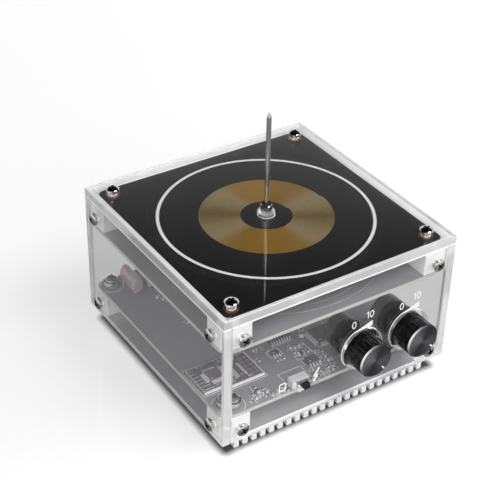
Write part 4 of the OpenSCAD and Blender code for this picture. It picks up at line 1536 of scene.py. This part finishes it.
@dataclass
class Control:
    """One rotary control: its case, its shaft and its fluted knob."""

    shop: Workshop
    name: str
    pointer: float
    flutes: int = 20
    flute_deep: float = 0.2
    chamfer: float = 0.55
    collar: float = 1.6
    socket_r: float = 4.85
    socket_deep: float = 3.3
    pointer_half: float = 0.3
    bush_r: float = 3.55
    can_l: float = 7.0
    block_half: float = 6.2

    @property
    def body(self) -> str:
        """The body that the knob turns with."""
        return self.name + "_dial"

    @cached_property
    def dips(self) -> list[float]:
        """How deep the skirt's flutes are at each point round it, from 0 to 1."""
        per_flute, half_wide = 10, 0.26
        one = [max(0.0, 1 - ((k / per_flute - 0.5) / half_wide) ** 2) for k in range(per_flute)]
        return one * self.flutes

    def knob(self) -> None:
        """Builds the knob: fluted skirt, cut edge with a painted bright crescent, turned face with a
        painted highlight, and pointer.
        """
        node = self.name + "_knob"
        box = box_of(node)
        radius, length = box.size.x / 2, box.size.y
        place = Facing.FRONT.at(box.middle.x, box.high.y, box.middle.z)
        front = length - self.chamfer
        levels = [(0.0, radius - 0.3, 0), (0.3, radius, 0), (self.collar, radius, 0),
                  (self.collar + 0.15, radius, 1), (front - self.collar - 0.15, radius, 1),
                  (front - self.collar, radius, 0), (front - self.collar + 0.1, radius - 0.12, 0),
                  (front - self.collar + 0.35, radius - 0.12, 0), (front - self.collar + 0.45, radius, 0),
                  (front, radius, 0), (length - 0.08, radius - self.chamfer + 0.06, 0)]
        rings = [wavy_ring(r, z, self.dips, self.flute_deep * deep) for z, r, deep in levels]
        face_r = radius - self.chamfer - 0.1
        for r, z in ((face_r, length - 0.05), (face_r - 0.15, length - 0.16), (face_r * 0.5, length - 0.2),
                     (0.25, length - 0.21)):
            rings.append(wavy_ring(r, z, self.dips))
        inside = [wavy_ring(self.socket_r, z, self.dips) for z in (self.socket_deep, 0.0)]
        finish = [0] * 9 + [1, 1] + [2] * 3
        shape = Shape().loft([*inside, *rings], [0, 0, *finish], place)
        pointer_place = place @ at(0, 0, turn=self.pointer)
        rise = length - 0.17
        half = self.pointer_half
        for low, high in (((radius - 2.5, -half, rise - 0.1), (radius - 0.72, half, rise + 0.13)),
                          ((radius - 0.74, -half, front - 0.9), (radius, half, front + 0.1))):
            shape.block(low, high, 3, 0.05, pointer_place)
        face = Paint.knob_face(box.middle.x, box.middle.z)
        edge = Paint.knob_edge(box.middle.x, box.middle.z)
        finishes = [Paint.KNOB, edge, face, Paint.POINTER]
        self.shop.fit(shape, node + "_fluted", finishes, self.body, [node], crease=28)

    def case(self) -> None:
        """Builds the control's can, its front plate, its bush and the terminal block."""
        node = self.name + "_control_body"
        box, shaft = box_of(node), box_of(self.name + "_control_shaft")
        radius = box.size.x / 2
        axis_z = box.high.z - radius
        place = Facing.FRONT.at(box.middle.x, box.high.y, axis_z)
        bush_r, can_l = self.bush_r, self.can_l
        shape = Shape().turned([(0, 0), (radius - 0.6, 0), (radius - 0.15, 0.2), (radius, 0.6),
                                (radius, 6.7), (radius - 0.3, can_l), (bush_r + 0.4, can_l),
                                (bush_r + 0.4, 7.4), (bush_r, 7.5)], 0, place)
        thread = [(bush_r - 0.12 * (k % 2), 7.5 + k * 0.25) for k in range(21)]
        thread += [(bush_r - 0.3, box.size.y - 0.05), (3.05, box.size.y), (3.05, box.size.y - 3)]
        shape.turned(thread, 1, place)
        plate_y = box.low.y + box.size.y - can_l
        half = self.block_half
        shape.block((box.middle.x - half, plate_y - 0.02, self.top + 0.02),
                    (box.middle.x + half, plate_y + 1.75, axis_z - 1), 2, 0.15)
        for step in (-4.0, 0.0, 4.0):
            shape.block((box.middle.x + step - 0.6, plate_y + 0.3, self.top + 0.01),
                        (box.middle.x + step + 0.6, plate_y + 2.6, self.top + 0.5), 1, 0.1)
        for side in (-1, 1):
            x = box.middle.x + side * (radius - 1.6)
            shape.block((x - 0.8, plate_y - 0.12, axis_z - 2.2), (x + 0.8, plate_y + 6.2, axis_z - 0.2), 1,
                        0.1)
        self.shop.fit(shape, self.name + "_control_can", [Paint.CONTROL_CASE, Paint.SHAFT, Paint.CHIP],
                      replaces=[node])
        self.shop.dress(self.name + "_control_shaft", Paint.SHAFT)
        LOG.info("%s shaft is %.1f mm long", self.name, shaft.size.y)

    @cached_property
    def top(self) -> float:
        """Height of the main board's upper face."""
        return box_of("main_board").high.z

    def build(self) -> None:
        """Builds the control."""
        self.case()
        self.knob()


@dataclass
class SlideSwitch:
    """The slide switch at the front edge: folded shell, base and lever."""

    shop: Workshop
    wall: float = 0.3
    slot_half: float = 2.5
    tongue_half: float = 1.35

    def build(self) -> None:
        """Builds the shell and the lever and dresses the base."""
        box, lever = box_of("switch_shell"), box_of("switch_lever")
        low, high = box.low, box.high
        shell = Shape().block((low.x, low.y + self.wall, high.z - self.wall), (high.x, high.y, high.z), 0,
                              0.12)
        for x in (low.x, high.x - self.wall):
            shell.block((x, low.y + 0.1, low.z), (x + self.wall, high.y, high.z - 0.05), 0, 0.08)
            shell.block((x - 0.02, low.y + 0.8, low.z), (x + self.wall + 0.02, low.y + 1.6, low.z + 0.25),
                        0, 0.04)
        shell.block((low.x + 0.05, high.y - self.wall, low.z), (high.x - 0.05, high.y, high.z - 0.05), 0,
                    0.08)
        for a, b in ((low.x, box.middle.x - self.slot_half), (box.middle.x + self.slot_half, high.x)):
            shell.block((a, low.y, low.z), (b, low.y + self.wall, high.z - 0.1), 0, 0.08)
        shell.block((low.x + 0.05, low.y, lever.high.z + 0.2), (high.x - 0.05, low.y + self.wall, high.z),
                    0, 0.08)
        # A thin black sheet just inside the back wall is a painted shadow, standing in for the shade inside
        # the shell
        shell.block((low.x + 0.4, high.y - self.wall - 0.15, low.z + 0.1),
                    (high.x - 0.4, high.y - self.wall - 0.03, high.z - 0.35), 1, 0.02)
        self.shop.fit(shell, "switch_folded_shell", [Paint.SWITCH_SHELL, Paint.SWITCH_BLACK],
                      replaces=["switch_shell"])
        self.shop.dress("switch_base", Paint.SWITCH_BASE)
        middle, half = lever.middle.x, self.tongue_half
        tongue = Shape().block((middle - half, lever.low.y, lever.low.z),
                               (middle + half, low.y + 1.2, lever.high.z), 0, 0.22, steps=3)
        tongue.block((lever.low.x, low.y + self.wall + 0.1, lever.low.z), tuple(lever.high), 0, 0.1)
        self.shop.fit(tongue, "switch_slider", [Paint.SWITCH_BLACK], "mode_slider", ["switch_lever"])


@dataclass
class NeedleAssembly:
    """The needle, the socket that holds it and the black ring between them."""

    shop: Workshop
    knurls: int = 24
    knurl_deep: float = 0.16
    barrel_r: float = 2.3
    bore_r: float = 1.0
    tail_r: float = 1.6
    waist: Flat = (64.2, 63.9)
    tip_l: float = 2.2

    @cached_property
    def dips(self) -> list[float]:
        """How deep the barrel's knurls are at each point round it, from 0 to 1."""
        count = self.knurls * 6
        return [abs(math.sin(math.pi * k * self.knurls / count)) for k in range(count)]

    def build(self) -> None:
        """Builds the socket and the needle and dresses the ring."""
        box, needle = box_of("needle_socket"), box_of("discharge_needle")
        board = box_of("secondary_board")
        barrel_r, bore_r, tail_r, foot_r = self.barrel_r, self.bore_r, self.tail_r, box.size.x / 2
        knurl_z = box_of("top_plate").high.z + 0.3
        levels = [(bore_r, 0, box.high.z - 3), (bore_r, 0, box.high.z - 0.15),
                  (bore_r + 0.15, 0, box.high.z),
                  (barrel_r - 0.2, 0, box.high.z), (barrel_r, 0, box.high.z - 0.2)]
        rows = 8
        for row in range(rows + 1):
            height = box.high.z - 0.35 - row * (box.high.z - 0.35 - knurl_z) / rows
            levels.append((barrel_r, 1 if row % 2 else 0.35, height))
        levels += [(barrel_r, 0, knurl_z - 0.15), (barrel_r - 0.25, 0, knurl_z - 0.4),
                   (barrel_r - 0.25, 0, self.waist[0]), (barrel_r, 0, self.waist[1]),
                   (barrel_r, 0, board.high.z + 1.35), (foot_r - 0.2, 0, board.high.z + 1.2),
                   (foot_r, 0, board.high.z + 1.0), (foot_r, 0, board.high.z + 0.15),
                   (foot_r - 0.15, 0, board.high.z), (tail_r, 0, board.high.z),
                   (tail_r, 0, box.low.z + 0.3), (tail_r - 0.3, 0, box.low.z)]
        rings = [wavy_ring(r, z, self.dips, self.knurl_deep * deep) for r, deep, z in levels]
        socket = Shape().loft(rings)
        joint = board.low.z
        socket.turned([(tail_r, joint), (tail_r + 1.3, joint), (tail_r + 0.8, joint - 0.35),
                       (tail_r, joint - 1)], 0)
        self.shop.fit(socket, "knurled_socket", [Paint.NICKEL], replaces=["needle_socket"], crease=40)
        self.shop.dress("socket_ring", Paint.BLACK_RING)
        radius, tip = needle.size.x / 2, self.tip_l
        profile = [(0, needle.low.z), (radius - 0.15, needle.low.z), (radius, needle.low.z + 0.15),
                   (radius, needle.high.z - tip - 0.1), (radius - 0.03, needle.high.z - tip + 0.06),
                   (0.2, needle.high.z - 0.25), (0.1, needle.high.z - 0.04), (0, needle.high.z)]
        shape = Shape().turned(profile)
        self.shop.fit(shape, "ground_needle", [Paint.NEEDLE], "needle", ["discharge_needle"])


# Power stage and inlets ------------------------


@dataclass
class PowerStage:
    """The transistors on the heat sink, the capacitors and the pillars that feed the primary."""

    shop: Workshop
    can_r: float = 5.0
    pillar_af: float = 5.5
    lead_pitch: float = 2.54
    package_half: float = 5.0
    wire_r: float = 0.35
    dipped_lift: float = 1.4

    def transistors(self) -> None:
        """Builds the two transistors with their tabs and leads."""
        box = box_of("power_transistors")
        shape = Shape()
        half = self.package_half
        for x in (box.low.x + half, box.high.x - half):
            y, z = box.low.y + 6.4, box.low.z
            tab = Shape().extruded(rounded_outline(10, 6.6, 0.8, 3), 0, 1.3, 1, 0.1)
            hole = Shape().extruded(circle(1.6, 32), -1, 3, 1)
            shape.join(tab.cut(hole), at(x, y - 3.2, z))
            shape.block((x - half, y, z), (x + half, y + 9.2, z + 4.5), 0, 0.35)
            dimple = at(x, y + 2.2, z + 4.52)
            shape.turned([(0, 0), (0.7, 0), (0.6, -0.12), (0, -0.12)], 0, dimple, 20)
            for lead in (-self.lead_pitch, 0, self.lead_pitch):
                left, right = x + lead - 0.4, x + lead + 0.4
                shape.block((left, y + 9.0, z + 2.2), (right, y + 13.1, z + 3.0), 1, 0.1)
                shape.block((left, y + 12.4, z + 2.2), (right, y + 13.2, box.high.z), 1, 0.1)
        self.shop.fit(shape, "transistor_pair", [Paint.PACKAGE, Paint.TIN], replaces=["power_transistors"])
        self.shop.dress("transistor_pads", Paint.INSULATOR)

    def cans(self) -> None:
        """Builds the electrolytic capacitors: sleeve, crimp, and a scored bright end."""
        box = box_of("electrolytic_capacitors")
        r, top = self.can_r, box.high.z
        shape = Shape()
        for y in (box.low.y + r, box.high.y - r):
            place = at(box.middle.x, y)
            z = box.low.z
            shape.turned([(0, z), (r - 0.5, z), (r, z + 0.5), (r, z + 0.9), (r - 0.35, z + 1.3),
                          (r, z + 1.7), (r, top - 0.5), (r - 0.12, top - 0.15), (r - 0.5, top),
                          (r - 0.9, top - 0.05)], 0, place, 64)
            shape.turned([(r - 0.7, top - 0.1), (r - 1.2, top - 0.12), (0, top - 0.08)], 1, place, 64)
            # The vent scores are dark strips in the sleeve's colour on the bright end, painted shade
            # standing in for the grooves
            for turn in (0, 60, 120):
                level = place @ at(0, 0, top - 0.09)
                score = level @ at(0, 0, turn=turn)
                shape.block((-2.6, -0.08, -0.02), (2.6, 0.08, 0.015), 0, 0.01, score)
        self.shop.fit(shape, "can_capacitors", [Paint.CAN, Paint.CAN_END],
                      replaces=["electrolytic_capacitors"])

    def dipped(self) -> None:
        """Builds the two dipped capacitors: swollen bodies that taper onto their wires."""
        box = box_of("film_capacitors")
        shape = Shape()
        base, lift = box.low.z, self.dipped_lift
        for x, y, thick, wide, tall in ((box.low.x + 2.5, box.high.y - 6.2, 5.0, 12.4, 8.6),
                                        (box.high.x - 2.0, box.high.y - 6.6, 4.0, 8.6, 6.4)):
            rings = []
            for up, full in ((0.0, 0.5), (0.03, 0.72), (0.1, 0.92), (0.22, 1.0), (0.5, 1.0), (0.66, 0.94),
                             (0.8, 0.81), (0.9, 0.62), (0.97, 0.38), (1.0, 0.12)):
                outline = rounded_outline(thick * full, wide * (0.93 + 0.07 * full),
                                          min(thick * full / 2.02, 0.9), 6)
                rings.append([Vector((px, py, base + lift + (tall - lift) * up)) for px, py in outline])
            shape.loft(rings, 0, at(x, y))
            for side in (-1, 1):
                foot = Vector((x, y + side * (wide - thick) / 2, base))
                wire = [foot + Vector((0, 0, rise)) for rise in (0, 1, lift + 0.6)]
                shape.tube(wire, self.wire_r, 1)
                joint = [(0, 0.6), (0.4, 0.5), (0.75, 0.1), (0.9, 0), (0, 0)]
                shape.turned(joint, 1, Matrix.Translation(foot), 20)
        self.shop.fit(shape, "dipped_capacitors", [Paint.DIPPED, Paint.TIN], replaces=["film_capacitors"],
                      crease=50)

    def pillars(self) -> None:
        """Builds the two hexagonal pillars."""
        box = box_of("feed_pillars")
        across = self.pillar_af / math.cos(math.pi / 6)
        outline = circle(across / 2, 6)
        shape = Shape()
        for x in (box.low.x + across / 2, box.high.x - across / 2):
            shape.extruded(outline, box.low.z, box.high.z, 0, 0.3, at(x, box.middle.y))
        self.shop.fit(shape, "hex_pillars", [Paint.BRASS], replaces=["feed_pillars"])

    def build(self) -> None:
        """Builds the whole stage."""
        self.transistors()
        self.cans()
        self.dipped()
        self.pillars()


@dataclass
class BackInlets:
    """The two inlets at the back: round for the signal, square with a pin for the supply."""

    shop: Workshop
    signal_r: float = 1.8
    signal_deep: float = 13.0
    signal_body_y: float = 49.9
    supply_r: float = 3.15
    supply_deep: float = 9.5

    def build(self) -> None:
        """Builds both inlets with their bores and dresses the pin."""
        audio = box_of("audio_inlet")
        axis = (audio.middle.x, audio.high.y, audio.middle.z)
        bore_r, nose_r, body_y = self.signal_r, audio.size.z / 2, self.signal_body_y
        out = Facing.BACK.at(*axis)
        case = Shape().block(tuple(audio.low), (audio.high.x, body_y, audio.high.z), 0, 0.25)
        tool = Shape().extruded(circle(bore_r + 0.02, 48), -self.signal_deep, 1, 0, place=out)
        body = case.cut(tool)
        depth = audio.high.y - body_y
        nose = [(bore_r, -depth - 1), (nose_r, -depth - 1), (nose_r, -0.3), (nose_r - 0.3, 0),
                (bore_r + 0.5, 0), (bore_r + 0.45, -0.12), (bore_r + 0.1, -0.15), (bore_r, -0.4)]
        body.turned(nose, 0, out, 64, True)
        sleeve = [(bore_r, -11.8), (bore_r, -4), (bore_r - 0.04, -4), (bore_r - 0.04, -11.8)]
        body.turned(sleeve, 1, out, 48, True)
        self.shop.fit(body, "signal_inlet", [Paint.INLET, Paint.TIN], replaces=["audio_inlet"], crease=25)
        power, pin = box_of("power_inlet"), box_of("power_inlet_pin")
        out = Facing.BACK.at(power.middle.x, power.high.y, pin.middle.z)
        case = Shape().block(tuple(power.low), tuple(power.high), 0, 0.3)
        bore_r = self.supply_r
        body = case.cut(Shape().extruded(circle(bore_r, 64), -self.supply_deep, 1, 0, place=out))
        body.turned([(bore_r, -0.9), (3.0, -1.1), (3.0, -9.3), (bore_r, -9.3)], 1, out, 64, True)
        self.shop.fit(body, "supply_inlet", [Paint.INLET, Paint.TIN], replaces=["power_inlet"], crease=25)
        tip = Facing.BACK.at(pin.middle.x, pin.high.y, pin.middle.z)
        radius, length = pin.size.x / 2, pin.size.y
        profile = [(0, -length), (radius, -length), (radius, -0.5), (radius * 0.75, -0.1), (0.3, 0), (0, 0)]
        shape = Shape().turned(profile, 0, tip)
        self.shop.fit(shape, "supply_pin", [Paint.SHAFT], replaces=["power_inlet_pin"])


@dataclass
class FrontMarks:
    """The white print on the front sheet: a wedge and numerals for each knob, and two plain signs."""

    shop: Workshop
    lift: float = 0.02
    numeral_h: float = 3.0
    pen: float = 0.42
    # Numerals as [digit, x from the knob's axis, height]
    numerals: tuple[tuple[str, float, float], ...] = (("0", -6.2, 39.6), ("1", 0.3, 42.0), ("0", 2.1, 42.0))
    square_at: Flat = (-27.1, 24.7)
    zigzag: tuple[Flat, ...] = ((-12.4, 21.2), (-11.0, 24.0), (-12.2, 24.0), (-10.2, 27.2))

    def numeral(self, shape: Shape, digit: str, x: float, z: float, place: Matrix) -> None:
        """Prints a 0 or a 1.

        Args:
            shape: The shape to add to.
            digit: Which of the two.
            x: Its left edge.
            z: Its foot.
            place: Where the sheet's face is.
        """
        tall, wide = self.numeral_h, self.numeral_h * 0.55
        if digit == "0":
            loop = [(x + wide / 2 + wide / 2 * math.cos(a), z + tall / 2 + tall / 2 * math.sin(a))
                    for a in (2 * math.pi * k / 24 for k in range(24))]
            shape.stroke(loop, self.pen, closed=True, place=place)
        else:
            shape.stroke([(x, z + tall * 0.72), (x + wide * 0.55, z + tall), (x + wide * 0.55, z)],
                         self.pen, place=place)

    def build(self) -> None:
        """Prints every mark on the outer face."""
        sheet = box_of("front_panel")
        place = Facing.FRONT.at(0, sheet.low.y + self.lift, 0)
        shape = Shape()
        for knob in ("power_knob", "pitch_knob"):
            x = box_of(knob).middle.x
            shape.extruded([(x - 6.2, 37.0), (x + 3.6, 37.7), (x + 3.6, 40.2)], 0, 0.03, place=place)
            for digit, across, foot in self.numerals:
                self.numeral(shape, digit, x + across, foot, place)
        x, z = self.square_at
        square = [(x + a, z + b) for a, b in rounded_outline(2.7, 3.4, 0.6, 4)]
        shape.stroke(square, 0.55, closed=True, place=place)
        shape.stroke(self.zigzag, 0.85, place=place)
        self.shop.fit(shape, "front_print", [Paint.INK])


# Studio ------------------------


@dataclass(frozen=True)
class Lamp:
    """A softbox: place, size and aim in metres, power in watts, and whether glossy faces mirror it."""

    name: str
    place: Point
    size: Flat
    power: float
    target: Point = (0.0, 0.0, 0.03)
    mirrored: bool = True


@dataclass
class Studio:
    """A pale floor, soft lamps, a pale sky and the camera."""

    camera_place: Point = (-247.1, -356.8, 342.4)
    camera_forward: Point = (0.4566, 0.6937, -0.5570)
    camera_roll: float = 0.019
    lens: float = 96.74
    sensor: float = 36.0
    floor_size: float = 8.0
    sky_diffuse: float = 0.38
    floor_shade: float = 0.6
    floor_glow: float = 0.49
    mirrored_shade: float = 0.2
    # The painted shadow under the object: half the size of the square where the floor is darkest, and how
    # far beyond it the shadow fades, in millimetres
    painted_shadow_half: float = 49.2
    painted_shadow_reach: float = 5.0
    # The sky as shiny faces see it: brightness by height, from straight below to straight above
    sky_stops: tuple[Flat, ...] = (
        (0.0, 1.0), (0.22, 1.0), (0.4, 0.62), (0.5, 0.22), (0.56, 0.05), (0.6, 0.0), (0.9, 0.0))
    lamps: tuple[Lamp, ...] = (
        Lamp("overhead_softbox", (0.45, -0.75, 1.1), (0.6, 0.6), 7.0),
        Lamp("right_softbox", (1.1, -0.55, 0.65), (0.6, 0.6), 7.0, mirrored=False),
        Lamp("left_softbox", (-1.0, -0.8, 0.75), (0.6, 0.6), 5.0),
        Lamp("front_softbox", (0.1, -1.3, 0.55), (0.6, 0.6), 4.5, mirrored=False),
    )

    def camera(self) -> None:
        """Stands the camera at the photograph's place."""
        forward = Vector(self.camera_forward).normalized()
        right = forward.cross(Vector((0, 0, 1))).normalized()
        up = right.cross(forward)
        turn, rise = math.cos(self.camera_roll), math.sin(self.camera_roll)
        across, upright = right * turn + up * rise, up * turn - right * rise
        data = bpy.data.cameras.new("camera")
        data.lens, data.sensor_width = self.lens, self.sensor
        item = linked("camera", data)
        columns = Matrix((across, upright, -forward)).transposed().to_4x4()
        item.matrix_world = Matrix.Translation(Vector(self.camera_place) * MM) @ columns
        bpy.context.scene.camera = item

    def floor(self) -> None:
        """Lays the floor: white where no shadow falls, with a faint shine, a painted shadow under the
        object that fades out a few millimetres beyond it, and a darker tone where shiny faces mirror it.
        """
        mesh = bpy.data.meshes.new("floor")
        half = self.floor_size / 2
        corners = [(-half, -half, 0), (half, -half, 0), (half, half, 0), (-half, half, 0)]
        mesh.from_pydata(corners, [], [(0, 1, 2, 3)])
        item = linked("floor", mesh)
        graph = Graph(bpy.data.materials.new("studio_floor"))
        path = graph.add("LightPath")
        direct = {0: path.outputs["Is Camera Ray"], 1: path.outputs["Is Transmission Ray"]}
        straight = graph.add("Math", direct, operation="MAXIMUM")
        # A painted shadow: inside the object's footprint the floor's glow is cut and its colour is painted
        # ten times darker, and both fade back beyond it
        place = graph.add("TexCoord").outputs["Object"]
        folded = graph.add("VectorMath", {0: place}, operation="ABSOLUTE")
        beyond = graph.add("VectorMath", {0: folded.outputs[0], 1: [self.painted_shadow_half * MM] * 3},
                           operation="SUBTRACT")
        outside = graph.add("VectorMath", {0: beyond.outputs[0], 1: (0, 0, 0)}, operation="MAXIMUM")
        away = graph.add("VectorMath", {0: outside.outputs[0]}, operation="LENGTH")
        reach = {0: away.outputs["Value"], 1: 0.0, 2: self.painted_shadow_reach * MM, 3: 0.0, 4: self.floor_glow}
        painted_shadow_fade = graph.add("MapRange", reach, interpolation_type="SMOOTHSTEP")
        glow = graph.add("Math", {0: straight.outputs[0], 1: painted_shadow_fade.outputs[0]}, operation="MULTIPLY")
        near = graph.add("Math", {0: painted_shadow_fade.outputs[0], 1: self.floor_glow}, operation="DIVIDE")
        dark, pale = [self.floor_shade * 0.1] * 3 + [1], [self.floor_shade] * 3 + [1]
        painted_shadow_colour = graph.blend(near.outputs[0], dark, pale)
        colour = graph.blend(path.outputs["Is Glossy Ray"], painted_shadow_colour, [self.mirrored_shade] * 3 + [1])
        paint = graph.add("BsdfPrincipled", {
            "Base Color": colour, "Roughness": 0.05, "Specular IOR Level": 0.7,
            "Emission Color": (1, 1, 1, 1), "Emission Strength": glow.outputs[0]})
        mesh.materials.append(graph.done(paint.outputs[0]))

    def sky(self) -> None:
        """Sets the sky: white to the camera, pale near the horizon and dark overhead to anything shiny."""
        world = bpy.data.worlds.new("studio_sky")
        bpy.context.scene.world = world
        graph = Graph(world)
        world.cycles.sampling_method = "NONE"
        place = graph.add("TexCoord").outputs["Generated"]
        height = graph.add("SeparateXYZ", {0: place}).outputs["Z"]
        colour = graph.ramp(height, tuple((z, (level,) * 3) for z, level in self.sky_stops))
        path = graph.add("LightPath")
        for output, level in (("Is Diffuse Ray", self.sky_diffuse), ("Is Camera Ray", 1.0)):
            colour = graph.blend(path.outputs[output], colour, [level] * 3 + [1])
        background = graph.add("Background", {"Color": colour})
        graph.add("OutputWorld", {0: background.outputs[0]})

    def light(self) -> None:
        """Hangs the softboxes."""
        for lamp in self.lamps:
            data = bpy.data.lights.new(lamp.name, "AREA")
            data.shape, data.size, data.size_y, data.energy = "RECTANGLE", *lamp.size, lamp.power
            item = linked(lamp.name, data)
            item.location = lamp.place
            aim = Vector(lamp.target) - Vector(lamp.place)
            item.rotation_euler = aim.to_track_quat("-Z", "Y").to_euler()
            item.visible_transmission = False
            item.visible_glossy = lamp.mirrored

    def build(self) -> None:
        """Sets up the whole studio."""
        self.camera()
        self.floor()
        self.sky()
        self.light()
        scene = bpy.context.scene
        scene.view_settings.view_transform = "Standard"
        cycles = scene.cycles
        cycles.max_bounces, cycles.transmission_bounces, cycles.transparent_max_bounces = 24, 24, 32
        cycles.glossy_bounces, cycles.diffuse_bounces = 8, 4
        LOG.info("studio: %d softboxes", len(self.lamps))


def main() -> None:
    """Loads the frame and builds each sub-assembly in order."""
    logging.basicConfig(level=logging.INFO, format="%(name)s: %(message)s")
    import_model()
    shop = Workshop()
    Studio().build()
    HeatSink(shop).build()
    MainBoard(shop).build()
    PowerStage(shop).build()
    BackInlets(shop).build()
    PrimaryBoard(shop).build()
    SpiralBoard(shop).build()
    Control(shop, "power", pointer=-51).build()
    Control(shop, "pitch", pointer=-40).build()
    SlideSwitch(shop).build()
    NeedleAssembly(shop).build()
    Fasteners(shop).build()
    AcrylicCase(shop).build()
    FrontMarks(shop).build()
    LOG.info("%d pieces made", shop.count)


if __name__ == "__main__":
    main()
